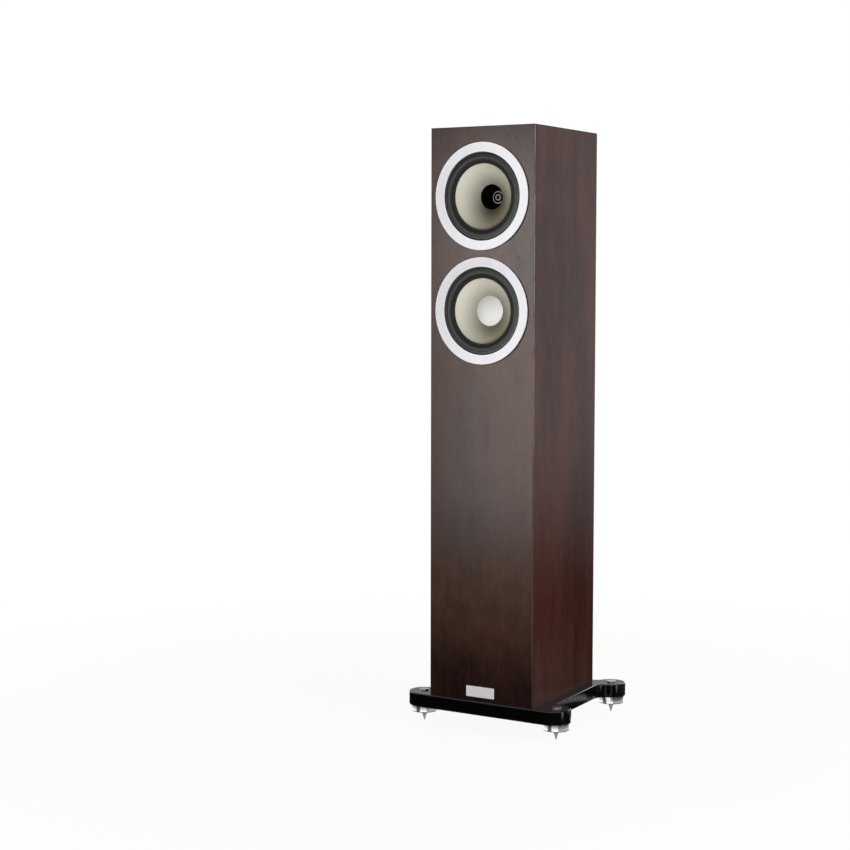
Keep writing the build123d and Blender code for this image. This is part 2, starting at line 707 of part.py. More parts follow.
def surround():
    """The rubber half-roll between the basket and the cone, with a flat land at each edge."""
    front = SURROUND_SEAT_DEPTH - SURROUND_THICKNESS
    middle = (ROLL_OUTER + ROLL_INNER) / 2
    back_peak = SURROUND_THICKNESS - ROLL_PEAK
    inner_foot = ROLL_INNER + SURROUND_THICKNESS
    outer_foot = ROLL_OUTER - SURROUND_THICKNESS
    return turned_outline(
        Line((SURROUND_LAND_RADIUS, front), (ROLL_OUTER, front)),
        ThreePointArc((ROLL_OUTER, front), (middle, -ROLL_PEAK), (ROLL_INNER, front)),
        Line((ROLL_INNER, front), (CONE_VISIBLE_RADIUS, front)),
        Line((CONE_VISIBLE_RADIUS, front), (CONE_VISIBLE_RADIUS, SURROUND_SEAT_DEPTH)),
        Line((CONE_VISIBLE_RADIUS, SURROUND_SEAT_DEPTH), (inner_foot, SURROUND_SEAT_DEPTH)),
        ThreePointArc(
            (inner_foot, SURROUND_SEAT_DEPTH), (middle, back_peak), (outer_foot, SURROUND_SEAT_DEPTH)
        ),
        Line((outer_foot, SURROUND_SEAT_DEPTH), (SURROUND_LAND_RADIUS, SURROUND_SEAT_DEPTH)),
        Line((SURROUND_LAND_RADIUS, SURROUND_SEAT_DEPTH), (SURROUND_LAND_RADIUS, front)),
    )


def cone_depth(radius):
    """The depth of the cone's flared front face, as the chord from lip to neck less the flare over it."""
    lip = SURROUND_SEAT_DEPTH + SOFT_GAP
    share = (CONE_VISIBLE_RADIUS - radius) / (CONE_VISIBLE_RADIUS - FORMER_OUTSIDE)
    return lip + share * (CONE_NECK_DEPTH - lip) - 4 * share * (1 - share) * CONE_FLARE


def cone():
    """The flared cone, with a flat lip under the surround and a collar at its neck."""
    lip = SURROUND_SEAT_DEPTH + SOFT_GAP
    neck = FORMER_OUTSIDE + NECK_FIT
    middle = (CONE_VISIBLE_RADIUS + neck) / 2
    flared = cone_depth(middle)
    back = CONE_THICKNESS
    return turned_outline(
        Line((CONE_LIP_RADIUS, lip), (CONE_VISIBLE_RADIUS, lip)),
        ThreePointArc((CONE_VISIBLE_RADIUS, lip), (middle, flared), (neck, CONE_NECK_DEPTH)),
        Line((neck, CONE_NECK_DEPTH), (neck, CONE_NECK_DEPTH + CONE_NECK_WALL)),
        ThreePointArc(
            (neck, CONE_NECK_DEPTH + CONE_NECK_WALL),
            (middle, flared + CONE_MIDDLE_WALL),
            (CONE_VISIBLE_RADIUS, lip + back),
        ),
        Line((CONE_VISIBLE_RADIUS, lip + back), (CONE_LIP_RADIUS, lip + back)),
        Line((CONE_LIP_RADIUS, lip + back), (CONE_LIP_RADIUS, lip)),
    )


def voice_coil():
    """The coil former with its winding."""
    return turned(
        (FORMER_RADIUS, FORMER_FRONT),
        (FORMER_OUTSIDE, FORMER_FRONT),
        (FORMER_OUTSIDE, WINDING_FRONT),
        (WINDING_RADIUS, WINDING_FRONT),
        (WINDING_RADIUS, WINDING_BACK),
        (FORMER_OUTSIDE, WINDING_BACK),
        (FORMER_OUTSIDE, FORMER_BACK),
        (FORMER_RADIUS, FORMER_BACK),
    )


def spider():
    """The flat suspension disc that centres the coil, glued on its ledge."""
    reach = SPIDER_SEAT_BORE + BASKET_WALL
    return tube(reach, FORMER_OUTSIDE + SOFT_GAP, SPIDER_SEAT_DEPTH - SPIDER_THICKNESS, SPIDER_SEAT_DEPTH)


def top_plate():
    """The steel ring round the magnetic gap."""
    return tube(TOP_PLATE_RADIUS, WINDING_RADIUS + MAGNETIC_GAP, BASKET_DEPTH, MAGNET_FRONT)


def magnet():
    """The ferrite ring."""
    return tube(MAGNET_RADIUS, MAGNET_BORE, MAGNET_FRONT, YOKE_FRONT)


def yoke(bore):
    """The back plate with its pole, bored when something passes through it."""
    body = disc(TOP_PLATE_RADIUS, YOKE_FRONT, YOKE_BACK) + disc(POLE_RADIUS, POLE_FRONT, YOKE_FRONT)
    return body - disc(bore, POLE_FRONT, YOKE_BACK) if bore else body


def dust_cap():
    """The shallow dome that closes the centre of the bass cone."""
    rim = cone_depth(DUST_CAP_RADIUS) - DUST_CAP_LIFT
    peak = rim - DUST_CAP_RISE
    wall = DUST_CAP_THICKNESS
    inner = DUST_CAP_RADIUS - wall
    return turned_outline(
        Line((0, peak), (0, peak + wall)),
        dome_arc(inner, rim, peak + wall),
        Line((inner, rim), (DUST_CAP_RADIUS, rim)),
        dome_arc(DUST_CAP_RADIUS, rim, peak),
    )


def dome_arc(radius, rim, peak):
    """The arc of a dome from its top on the axis to its rim."""
    rise = rim - peak
    sphere = (radius**2 + rise**2) / (2 * rise)
    half = asin(radius / sphere) / 2
    return ThreePointArc((0, peak), (sphere * sin(half), peak + sphere * (1 - cos(half))), (radius, rim))


def waveguide():
    """The short horn between the throat of the cone and the tweeter, seated on the pole."""
    depth = POLE_FRONT - WAVEGUIDE_FRONT
    bow = ((WAVEGUIDE_MOUTH + WAVEGUIDE_THROAT) / 2 - WAVEGUIDE_BOW, WAVEGUIDE_FRONT + depth / 2)
    return turned_outline(
        Line((POLE_RADIUS, WAVEGUIDE_FRONT), (POLE_RADIUS, POLE_FRONT)),
        Line((POLE_RADIUS, POLE_FRONT), (WAVEGUIDE_THROAT, POLE_FRONT)),
        ThreePointArc((WAVEGUIDE_THROAT, POLE_FRONT), bow, (WAVEGUIDE_MOUTH, WAVEGUIDE_FRONT)),
        Line((WAVEGUIDE_MOUTH, WAVEGUIDE_FRONT), (POLE_RADIUS, WAVEGUIDE_FRONT)),
    )


def phase_plug():
    """Two concentric rings on three thin webs, in the waveguide's throat."""
    back = PLUG_FRONT + PLUG_DEPTH
    plug = rounded_tube(PLUG_OUTER_RING, PLUG_OUTER_WIDTH)
    plug += rounded_tube(PLUG_INNER_RING, PLUG_INNER_WIDTH)
    reach = WAVEGUIDE_THROAT - PART_GAP
    web_length = reach - PLUG_INNER_RING + PLUG_INNER_WIDTH / 2
    web = Pos(reach - web_length, 0, back - PLUG_DEPTH / 2) * Box(
        web_length, PLUG_WEB, PLUG_DEPTH / 2, align=(Align.MIN, Align.CENTER, Align.MIN)
    )
    for k in range(PLUG_WEB_COUNT):
        plug += Rot(0, 0, PLUG_WEB_START + k * 360 / PLUG_WEB_COUNT) * web
    return plug


def rounded_tube(radius, width):
    """A ring of the phase plug with its two front edges rounded."""
    ring = tube(radius, radius - width, PLUG_FRONT, PLUG_FRONT + PLUG_DEPTH)
    return fillet(ring.faces().sort_by(Axis.Z)[0].edges(), PLUG_EDGE)


def tweeter_dome():
    """The small dome with its coil skirt."""
    peak = DOME_RIM_DEPTH - DOME_RISE
    inner = DOME_RADIUS - DOME_THICKNESS
    skirt_end = DOME_RIM_DEPTH + DOME_SKIRT
    return turned_outline(
        Line((0, peak), (0, peak + DOME_THICKNESS)),
        dome_arc(inner, DOME_RIM_DEPTH, peak + DOME_THICKNESS),
        Line((inner, DOME_RIM_DEPTH), (inner, skirt_end)),
        Line((inner, skirt_end), (DOME_RADIUS, skirt_end)),
        Line((DOME_RADIUS, skirt_end), (DOME_RADIUS, DOME_RIM_DEPTH)),
        dome_arc(DOME_RADIUS, DOME_RIM_DEPTH, peak),
    )


def tweeter_capsule():
    """The tweeter's motor, which slides into the pole from behind and stops on its flange."""
    groove_inner = DOME_RADIUS - DOME_THICKNESS - CAPSULE_GROOVE_SPACE
    groove_outer = DOME_RADIUS + CAPSULE_GROOVE_SPACE
    groove_back = CAPSULE_FRONT + CAPSULE_GROOVE_DEPTH
    body = disc(CAPSULE_RADIUS, CAPSULE_FRONT, YOKE_BACK)
    body += disc(CAPSULE_FLANGE_RADIUS, YOKE_BACK, YOKE_BACK + CAPSULE_FLANGE_THICKNESS)
    return body - tube(groove_outer, groove_inner, CAPSULE_FRONT, groove_back)


# ---- back of the cabinet, in a local frame whose Z points out of the back panel ----

def port_tube():
    """The reflex port, with a flare at both ends and a rim on the back panel."""
    outer = PORT_RADIUS + PORT_WALL
    inner_end = PORT_RIM_THICKNESS - PORT_LENGTH
    mouth = PORT_RADIUS + PORT_FLARE
    turn = PORT_FLARE * (1 - cos(EIGHTH_TURN))
    edges = [
        Line((PORT_RADIUS, PORT_RIM_THICKNESS - PORT_FLARE), (PORT_RADIUS, inner_end + PORT_FLARE)),
        ThreePointArc(
            (PORT_RADIUS, inner_end + PORT_FLARE),
            (PORT_RADIUS + turn, inner_end + turn),
            (mouth, inner_end),
        ),
        Line((mouth, inner_end), (mouth, inner_end + PORT_WALL)),
        Line((mouth, inner_end + PORT_WALL), (outer, inner_end + PORT_FLARE + PORT_WALL)),
        Line((outer, inner_end + PORT_FLARE + PORT_WALL), (outer, 0)),
        Line((outer, 0), (PORT_RIM_RADIUS, 0)),
        Line((PORT_RIM_RADIUS, 0), (PORT_RIM_RADIUS, PORT_RIM_THICKNESS)),
        Line((PORT_RIM_RADIUS, PORT_RIM_THICKNESS), (mouth, PORT_RIM_THICKNESS)),
        ThreePointArc(
            (mouth, PORT_RIM_THICKNESS),
            (PORT_RADIUS + turn, PORT_RIM_THICKNESS - turn),
            (PORT_RADIUS, PORT_RIM_THICKNESS - PORT_FLARE),
        ),
    ]
    port = turned_outline(*edges)
    rim = port.edges().filter_by(GeomType.CIRCLE).group_by(SortBy.RADIUS)[-1]
    return fillet(rim.sort_by(Axis.Z)[-1], PORT_RIM_EDGE)


def rounded_bar(width, height, corner, start, end, draft=0.0):
    """A bar with rounded corners between two depths, narrowed by a draft at its start."""
    near = Pos(0, 0, start) * RectangleRounded(width - 2 * draft, height - 2 * draft, corner)
    far = Pos(0, 0, end) * RectangleRounded(width, height, corner)
    return loft([near, far], ruled=True)


def terminal_panel():
    """The moulded terminal dish with its flange, bored for the post stems and its screws."""
    floor_back = TERMINAL_FLANGE - DISH_DEPTH
    panel = rounded_bar(TERMINAL_WIDTH, TERMINAL_HEIGHT, TERMINAL_CORNER, 0, TERMINAL_FLANGE)
    panel += rounded_bar(
        DISH_WIDTH + 2 * DISH_WALL,
        DISH_HEIGHT + 2 * DISH_WALL,
        DISH_CORNER,
        floor_back - DISH_WALL,
        0,
        DISH_DRAFT,
    )
    panel -= rounded_bar(DISH_WIDTH, DISH_HEIGHT, DISH_CORNER, floor_back, TERMINAL_FLANGE, DISH_DRAFT)
    panel = fillet(panel.faces().sort_by(Axis.Z)[-1].edges(), TERMINAL_EDGE)
    for place in post_places():
        panel -= place * disc(STEM_RADIUS, floor_back - DISH_WALL - CUTTER_OVERRUN, 0)
    for place in terminal_screw_places():
        panel -= place * Pos(0, 0, TERMINAL_FLANGE) * terminal_screw_room()
    return panel


def post_places():
    """The four binding posts on the terminal panel."""
    return GridLocations(POST_PITCH_X, POST_PITCH_Z, 2, 2)


def terminal_screw_places():
    """The four corner screws of the terminal panel."""
    across = TERMINAL_WIDTH - 2 * TERMINAL_SCREW_INSET
    up = TERMINAL_HEIGHT - 2 * TERMINAL_SCREW_INSET
    return GridLocations(across, up, 2, 2)


def terminal_screw_room():
    """The countersunk hole of a terminal-panel screw, with its pilot hole behind."""
    room = Rot(180, 0, 0) * turned(
        (0, 0),
        (SCREW_HEAD_RADIUS + SCREW_CLEARANCE, 0),
        (SCREW_RADIUS + SCREW_CLEARANCE, SCREW_HEAD_HEIGHT),
        (SCREW_RADIUS + SCREW_CLEARANCE, SCREW_LENGTH + SCREW_CLEARANCE),
        (0, SCREW_LENGTH + SCREW_CLEARANCE),
    )
    return room


def post_stem():
    """A binding-post stem with its collar and a bore for a plug, placed by setback."""
    body = disc(STEM_RADIUS, DISH_FLOOR - DISH_WALL - STEM_TAIL, STEM_END)
    body += disc(STEM_COLLAR_RADIUS, DISH_FLOOR, STEM_COLLAR_BACK)
    return body - disc(PLUG_BORE_RADIUS, STEM_END - PLUG_BORE_DEPTH, STEM_END)


def post_cap():
    """A faceted screw cap over a stem, open at its end for a plug."""
    end = CAP_FRONT + POST_CAP_LENGTH
    grip = Pos(0, 0, CAP_FRONT) * extrude(RegularPolygon(POST_CAP_RADIUS, POST_CAP_FACETS), POST_CAP_LENGTH)
    blank = turned(
        (0, CAP_FRONT),
        (POST_CAP_RADIUS - POST_CAP_EDGE, CAP_FRONT),
        (POST_CAP_RADIUS, CAP_FRONT + POST_CAP_EDGE),
        (POST_CAP_RADIUS, end - POST_CAP_EDGE),
        (POST_CAP_RADIUS - POST_CAP_EDGE, end),
        (0, end),
    )
    bore = disc(STEM_RADIUS + POST_CAP_FIT, CAP_FRONT, end - POST_CAP_END)
    return (grip & blank) - bore - disc(POST_CAP_MOUTH, CAP_FRONT, end)


def jumper_link():
    """A flat link that joins two stems one above the other, under their caps."""
    plate = SlotCenterToCenter(POST_PITCH_Z, LINK_WIDTH, rotation=90)
    link = Pos(0, 0, STEM_COLLAR_BACK) * extrude(plate, LINK_THICKNESS)
    for z in (-POST_PITCH_Z / 2, POST_PITCH_Z / 2):
        link -= Pos(0, z, 0) * disc(STEM_RADIUS + LINK_FIT, STEM_COLLAR_BACK, CAP_FRONT)
    return link


# ---- crossover and wiring ----

def on_board(x, z, shape):
    """A component on the front of the board, from the middle of the board's lower edge."""
    return Pos(x, y_at(BOARD_FRONT), BOARD_Z + z) * shape


def crossover_board():
    """The circuit board on four standoffs, with a connector block at each end."""
    board = on_board(0, BOARD_HEIGHT / 2, block(BOARD_WIDTH, BOARD_THICKNESS, BOARD_HEIGHT))
    across = BOARD_WIDTH / 2 - STANDOFF_INSET
    for x in (-across, across):
        for z in (STANDOFF_INSET, BOARD_HEIGHT - STANDOFF_INSET):
            post = facing_back(BOARD_Z + z) * disc(STANDOFF_RADIUS, BOARD_BACK - PART_GAP, INSIDE_BACK)
            board += Pos(x, 0, 0) * post
    for z in (BLOCK_HEIGHT / 2, BOARD_HEIGHT - BLOCK_HEIGHT / 2):
        board += on_board(0, z, Pos(0, -BLOCK_DEPTH, 0) * block(BLOCK_WIDTH, BLOCK_DEPTH, BLOCK_HEIGHT))
    top_width = 2 * (OUTER_WIRE_X + 2 * WIRE_RADIUS)
    strip = Pos(0, -BLOCK_DEPTH, 0) * block(top_width, BLOCK_DEPTH, BLOCK_HEIGHT)
    return board + on_board(0, BOARD_HEIGHT - BLOCK_HEIGHT / 2, strip)


def inductors():
    """Two air-cored coils flat on the board."""
    coil = Pos(0, -PART_GAP - COIL_LENGTH, 0) * Rot(-90, 0, 0) * tube(COIL_RADIUS, COIL_BORE, 0, COIL_LENGTH)
    height = BLOCK_HEIGHT + COIL_RADIUS + COMPONENT_SPACE
    return [on_board(x, height, coil) for x in (-COIL_PITCH / 2, COIL_PITCH / 2)]


def capacitors():
    """Four film capacitors that lie across the board, two in each row."""
    can = Rot(0, 90, 0) * Cylinder(CAPACITOR_RADIUS, CAPACITOR_LENGTH)
    first = BLOCK_HEIGHT + 2 * COIL_RADIUS + CAPACITOR_RADIUS + 2 * COMPONENT_SPACE
    lie = -CAPACITOR_RADIUS - PART_GAP
    half = CAPACITOR_LENGTH / 2 + COMPONENT_SPACE
    cans = []
    for x in (-half, half):
        for row in range(CAPACITOR_ROWS):
            cans.append(on_board(x, first + row * CAPACITOR_PITCH, Pos(0, lie, 0) * can))
    return cans


def resistors():
    """Three ceramic power resistors, upright between the capacitors and the upper block."""
    brick = Pos(0, -RESISTOR_SIZE, 0) * block(RESISTOR_SIZE, RESISTOR_SIZE, RESISTOR_LENGTH)
    height = BOARD_HEIGHT - BLOCK_HEIGHT - RESISTOR_LENGTH / 2 - COMPONENT_SPACE
    return [on_board(x, height, brick) for x in (-RESISTOR_PITCH, 0, RESISTOR_PITCH)]


def wire(points, bends):
    """A sleeved lead along straight runs joined by tangent arcs."""
    path = FilletPolyline(*points, radius=bends)
    start = Plane(origin=path @ 0, z_dir=path % 0)
    return sweep(start * Circle(WIRE_RADIUS), path=path)


def wiring_harness():
    """The leads from the posts to the board and from the board to the drive units."""
    leads = []
    block_bottom = BOARD_Z
    tail = DISH_FLOOR - DISH_WALL - STEM_TAIL
    for x in (-POST_PITCH_X / 2, POST_PITCH_X / 2):
        for row, z in enumerate((TERMINAL_Z + POST_PITCH_Z / 2, TERMINAL_Z - POST_PITCH_Z / 2)):
            rise = tail - TAIL_BEND - TAIL_STUB - row * TAIL_SPACING
            points = [(x, y_at(tail), z), (x, y_at(rise), z), (x, y_at(rise), block_bottom)]
            leads.append(wire(points, TAIL_BEND))
    board_top = BOARD_Z + BOARD_HEIGHT
    rise = BOARD_FRONT - BLOCK_DEPTH / 2
    tag_back = TAG_DEPTH + TAG_LENGTH + PART_GAP
    tag_drop = TAG_RADIUS * sin(radians(ARM_START))
    tag_x = TAG_RADIUS * cos(radians(ARM_START))
    for x, centre in ((WIRE_X, LOWER_Z), (OUTER_WIRE_X, UPPER_Z)):
        points = [
            (x, y_at(rise), board_top),
            (x, y_at(rise), centre - tag_drop),
            (tag_x, y_at(tag_back), centre - tag_drop),
        ]
        leads.append(wire(points, WIRE_BEND))
    capsule_back = YOKE_BACK + CAPSULE_FLANGE_THICKNESS
    points = [
        (-WIRE_X, y_at(rise), board_top),
        (-WIRE_X, y_at(rise), UPPER_Z - WIRE_BEND),
        (0, y_at(capsule_back + WIRE_BEND), UPPER_Z),
        (0, y_at(capsule_back), UPPER_Z),
    ]
    leads.append(wire(points, (WIRE_BEND / 2, WIRE_BEND / 2)))
    return leads


def save(name, shape):
    """Write one named piece, or a group of like pieces, as its own file."""
    if isinstance(shape, list):
        shape = Compound(children=[item for entry in shape for item in entry.solids()])
    export_step(shape, f"parts/{name}.step")


def main():
    """Build every piece in its place and write it."""
    os.makedirs("parts", exist_ok=True)
    boards = mitred_boards()
    drivers = {"upper": facing_back(UPPER_Z), "lower": facing_back(LOWER_Z)}
    back = {z: facing_back(z, CABINET_DEPTH) for z in (PORT_Z, TERMINAL_Z)}
    for plane in drivers.values():
        boards["front_baffle"] -= plane * driver_cutout()
    hole_start = -BACK_THICKNESS - CUTTER_OVERRUN
    port_hole = disc(PORT_RADIUS + PORT_WALL + PORT_FIT, hole_start, CUTTER_OVERRUN)
    back_board = boards["back_panel"] - back[PORT_Z] * port_hole
    dish_hole = rounded_bar(
        DISH_WIDTH + 2 * (DISH_WALL + DISH_FIT),
        DISH_HEIGHT + 2 * (DISH_WALL + DISH_FIT),
        DISH_CORNER,
        hole_start,
        CUTTER_OVERRUN,
    )
    back_board -= back[TERMINAL_Z] * dish_hole
    for place in terminal_screw_places():
        back_board -= back[TERMINAL_Z] * place * Pos(0, 0, TERMINAL_FLANGE) * terminal_screw_room()
    boards["back_panel"] = back_board
    for x, y in bolt_places():
        grip = disc(BOLT_RADIUS + BOLT_CLEARANCE, 0, BOLT_GRIP + BOLT_CLEARANCE)
        boards["bottom_panel"] -= Pos(x, y, CABINET_BOTTOM) * grip
    for name, board in boards.items():
        save(name, board)
    save("braces", braces())
    save("damping_pads", damping_pads())
    save("badge_plate", badge_plate())

    save("plinth", plinth())
    places = spike_places()
    save("spike_inserts", [Pos(x, y, 0) * spike_insert() for x, y in places.values()])
    save("insert_caps", [Pos(x, y, 0) * insert_cap() for x, y in places.values()])
    save("plinth_bolts", [Pos(x, y, PLINTH_BOTTOM) * plinth_bolt() for x, y in bolt_places()])
    for name, (x, y) in places.items():
        save(f"{name}_spike", Pos(x, y, 0) * spike())
        save(f"{name}_lock_ring", Pos(x, y, 0) * lock_ring())

    shared = {
        "trim_ring": trim_ring(),
        "chassis": chassis(),
        "surround": surround(),
        "cone": cone(),
        "voice_coil": voice_coil(),
        "spider": spider(),
        "top_plate": top_plate(),
        "magnet": magnet(),
    }
    for driver, plane in drivers.items():
        for name, shape in shared.items():
            save(f"{driver}_{name}", plane * shape)
    save("upper_yoke", drivers["upper"] * yoke(CAPSULE_RADIUS + PART_GAP))
    save("lower_yoke", drivers["lower"] * yoke(0))
    save("lower_dust_cap", drivers["lower"] * dust_cap())
    save("waveguide", drivers["upper"] * waveguide())
    save("phase_plug", drivers["upper"] * phase_plug())
    save("tweeter_dome", drivers["upper"] * tweeter_dome())
    save("tweeter_capsule", drivers["upper"] * tweeter_capsule())
    save("driver_gaskets", [plane * gasket() for plane in drivers.values()])
    screw = countersunk_screw()
    screws = [plane * place * screw for plane in drivers.values() for place in screw_places()]
    rear_screw = Pos(0, 0, TERMINAL_FLANGE) * Rot(180, 0, 0) * screw
    screws += [back[TERMINAL_Z] * place * rear_screw for place in terminal_screw_places()]
    save("panel_screws", screws)

    save("port_tube", back[PORT_Z] * port_tube())
    save("terminal_panel", back[TERMINAL_Z] * terminal_panel())
    posts = facing_back(TERMINAL_Z)
    save("post_stems", [posts * place * post_stem() for place in post_places()])
    half_pitch = POST_PITCH_X / 2
    save("jumper_links", [posts * Pos(x, 0, 0) * jumper_link() for x in (-half_pitch, half_pitch)])
    for side, sign in SIDES.items():
        for level, rise in {"upper": 1, "lower": -1}.items():
            place = Pos(sign * POST_PITCH_X / 2, -rise * POST_PITCH_Z / 2, 0)
            save(f"{level}_{side}_post_cap", posts * place * post_cap())

    save("crossover_board", crossover_board())
    save("inductors", inductors())
    save("capacitors", capacitors())
    save("resistors", resistors())
    save("wiring_harness", wiring_harness())


main()
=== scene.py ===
"""The looks of a floorstanding two-way loudspeaker, built round its fixed frame.

Metres, in the frame's own axes: the origin is on the floor under the middle of the footprint, +Z is up, the
baffle faces -Y and +X is to the right of someone who stands in front. Places and sizes come from the
frame's nodes; what the frame holds as a plain solid and the eye meets as rubber, cloth, foam, thread or
knurl is built here as a surface of its own.
"""
import logging
import math
from dataclasses import dataclass
from enum import Enum
from typing import Callable, Iterable, Sequence, Union

import bpy
import numpy as np
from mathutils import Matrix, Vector


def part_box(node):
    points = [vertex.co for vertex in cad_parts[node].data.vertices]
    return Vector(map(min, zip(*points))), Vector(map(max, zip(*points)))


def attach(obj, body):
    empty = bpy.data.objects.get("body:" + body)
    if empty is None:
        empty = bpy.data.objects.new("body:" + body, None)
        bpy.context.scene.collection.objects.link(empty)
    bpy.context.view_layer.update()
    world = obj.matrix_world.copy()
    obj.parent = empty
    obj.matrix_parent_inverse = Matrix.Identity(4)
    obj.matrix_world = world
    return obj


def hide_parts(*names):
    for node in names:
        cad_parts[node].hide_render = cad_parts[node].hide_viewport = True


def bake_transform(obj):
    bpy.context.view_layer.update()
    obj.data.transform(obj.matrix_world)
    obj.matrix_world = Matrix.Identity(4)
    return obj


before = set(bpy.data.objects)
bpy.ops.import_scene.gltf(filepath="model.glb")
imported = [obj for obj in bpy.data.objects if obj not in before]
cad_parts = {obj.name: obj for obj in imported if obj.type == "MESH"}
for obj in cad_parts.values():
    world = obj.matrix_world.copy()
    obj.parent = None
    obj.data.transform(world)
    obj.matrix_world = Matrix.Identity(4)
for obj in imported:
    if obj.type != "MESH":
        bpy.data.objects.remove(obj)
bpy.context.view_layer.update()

LOG = logging.getLogger("loudspeaker")
MM = 0.001
SMOOTH_ANGLE = math.radians(32)
SURFACE_MAP = "Surface"
MIX_SHARE, MIX_FIRST, MIX_SECOND, MIX_RESULT = 0, 6, 7, 2
CABINET = "cabinet"
SIDES = ("left", "right")
LEVELS = ("upper", "lower")
FEET = ("front_left", "front_right", "rear_left", "rear_right")
SHEEN_TINT = (0.95, 0.945, 0.90)
COOL_TINT = (0.92, 0.97, 1.13)
KEY_TINT = (0.92, 0.965, 1.23)
WARM_TINT = (1.05, 1.0, 0.86)
AMBIENT_TINT = (1.0, 0.92, 0.69)

Colour = tuple[float, float, float]
Point = tuple[float, float, float]
Span = tuple[float, float]
Socket = bpy.types.NodeSocket
Feed = Union[float, Sequence[float], Socket]


# ---- node trees ----

class Graph:
    """Short calls that fill one shader node tree."""

    def __init__(self, tree: bpy.types.NodeTree) -> None:
        """Keep the tree that the calls fill."""
        self.tree = tree

    def add(self, kind: str, inputs: dict | None = None, **settings: object) -> bpy.types.Node:
        """Add one node.

        Args:
            kind: The node's class, without the shader prefix.
            inputs: A constant or another node's output for each socket, by name or place.
            settings: Properties of the node itself.

        Returns:
            The new node.
        """
        prefix = "" if kind.startswith("NodeGroup") else "ShaderNode"
        node = self.tree.nodes.new(prefix + kind)
        for name, value in settings.items():
            setattr(node, name, value)
        for key, value in (inputs or {}).items():
            self.feed(node.inputs[key], value)
        return node

    def feed(self, socket: Socket, value: Feed) -> None:
        """Link an output to a socket, or set the socket's own constant.

        Args:
            socket: The input to fill.
            value: A constant or another node's output.
        """
        if isinstance(value, bpy.types.NodeSocket):
            self.tree.links.new(value, socket)
        else:
            socket.default_value = value

    def math(self, operation: str, *values: Feed) -> Socket:
        """The result of one arithmetic node."""
        return self.add("Math", dict(enumerate(values)), operation=operation).outputs[0]

    def times(self, value: Feed, factor: Feed, plus: Feed | None = None) -> Socket:
        """A value times a factor, plus a third number where one is given.

        Args:
            value: The number or output to multiply.
            factor: What it is multiplied by.
            plus: What is added to the product, if anything.

        Returns:
            The result.
        """
        if plus is None:
            return self.math("MULTIPLY", value, factor)
        return self.math("MULTIPLY_ADD", value, factor, plus)

    def vector(self, operation: str, *values: Feed) -> Socket:
        """The vector that one vector arithmetic node gives."""
        return self.add("VectorMath", dict(enumerate(values)), operation=operation).outputs["Vector"]

    def number(self, operation: str, *values: Feed) -> Socket:
        """The number that one vector arithmetic node gives, such as a length or a product."""
        return self.add("VectorMath", dict(enumerate(values)), operation=operation).outputs["Value"]

    def part(self, vector: Socket, axis: int) -> Socket:
        """One of a vector's three numbers."""
        return self.add("SeparateXYZ", {0: vector}).outputs[axis]

    def mix(self, share: Feed, first: Feed, second: Feed) -> Socket:
        """The blend of two colours by a share from 0 to 1."""
        inputs = {MIX_SHARE: share, MIX_FIRST: opaque(first), MIX_SECOND: opaque(second)}
        return self.add("Mix", inputs, data_type="RGBA").outputs[MIX_RESULT]

    def noise(self, vector: Socket, scale: float, detail: float = 2.0, rough: float = 0.5) -> Socket:
        """Plain noise from 0 to 1."""
        inputs = {"Vector": vector, "Scale": scale, "Detail": detail, "Roughness": rough}
        return self.add("TexNoise", inputs).outputs[0]

    def stretch(self, vector: Socket, scale: Point, place: Point = (0, 0, 0)) -> Socket:
        """A vector moved by minus a place and then scaled along each axis."""
        return self.vector("MULTIPLY", self.vector("SUBTRACT", vector, place), scale)

    def window(self, value: Feed, low: float, high: float, start: float = 0.0, end: float = 1.0) -> Socket:
        """A value's place between two bounds, eased and carried to a new range."""
        inputs = {0: value, 1: low, 2: high, 3: start, 4: end}
        return self.add("MapRange", inputs, interpolation_type="SMOOTHSTEP").outputs[0]

    def bump(self, height: Socket, distance: float, strength: float = 1.0) -> Socket:
        """The normal of a height that changes over the surface."""
        inputs = {"Height": height, "Distance": distance, "Strength": strength}
        return self.add("Bump", inputs).outputs[0]

    def where(self) -> Socket:
        """The point's place in the shared frame."""
        return self.add("TexCoord").outputs["Object"]

    def radius(self, where: Socket, centre: Point) -> Socket:
        """The distance from the line along Y through a centre."""
        return self.number("LENGTH", self.stretch(where, (1, 0, 1), centre))

    def along_surface(self) -> Socket:
        """The piece's own map, in metres along and across its surface."""
        return self.add("UVMap", uv_map=SURFACE_MAP).outputs[0]

    def principled(self, inputs: dict) -> bpy.types.Node:
        """The material's own Principled shader, joined to its output.

        Args:
            inputs: A constant or an output for each of the shader's sockets.

        Returns:
            The shader node.
        """
        shader = self.add("BsdfPrincipled", {key: opaque(value) for key, value in inputs.items()})
        self.add("OutputMaterial", {"Surface": shader.outputs[0]})
        return shader


def emptied(owner: bpy.types.Material | bpy.types.World) -> Graph:
    """A material's or a world's own tree, switched on and emptied.

    Args:
        owner: The material or the world.

    Returns:
        The calls that fill its tree.
    """
    owner.use_nodes = True
    owner.node_tree.nodes.clear()
    return Graph(owner.node_tree)


def scaled(colour: Colour, share: float) -> Colour:
    """A colour made darker or paler by a share, and no paler than white."""
    return tuple(min(1.0, share * channel) for channel in colour)


def opaque(value: Feed) -> Feed:
    """A colour of three numbers gets the fourth that a colour socket wants; anything else stays.

    Args:
        value: A colour, a number or an output.

    Returns:
        What a socket takes.
    """
    if isinstance(value, tuple) and len(value) == 3:
        return (*value, 1.0)
    return value


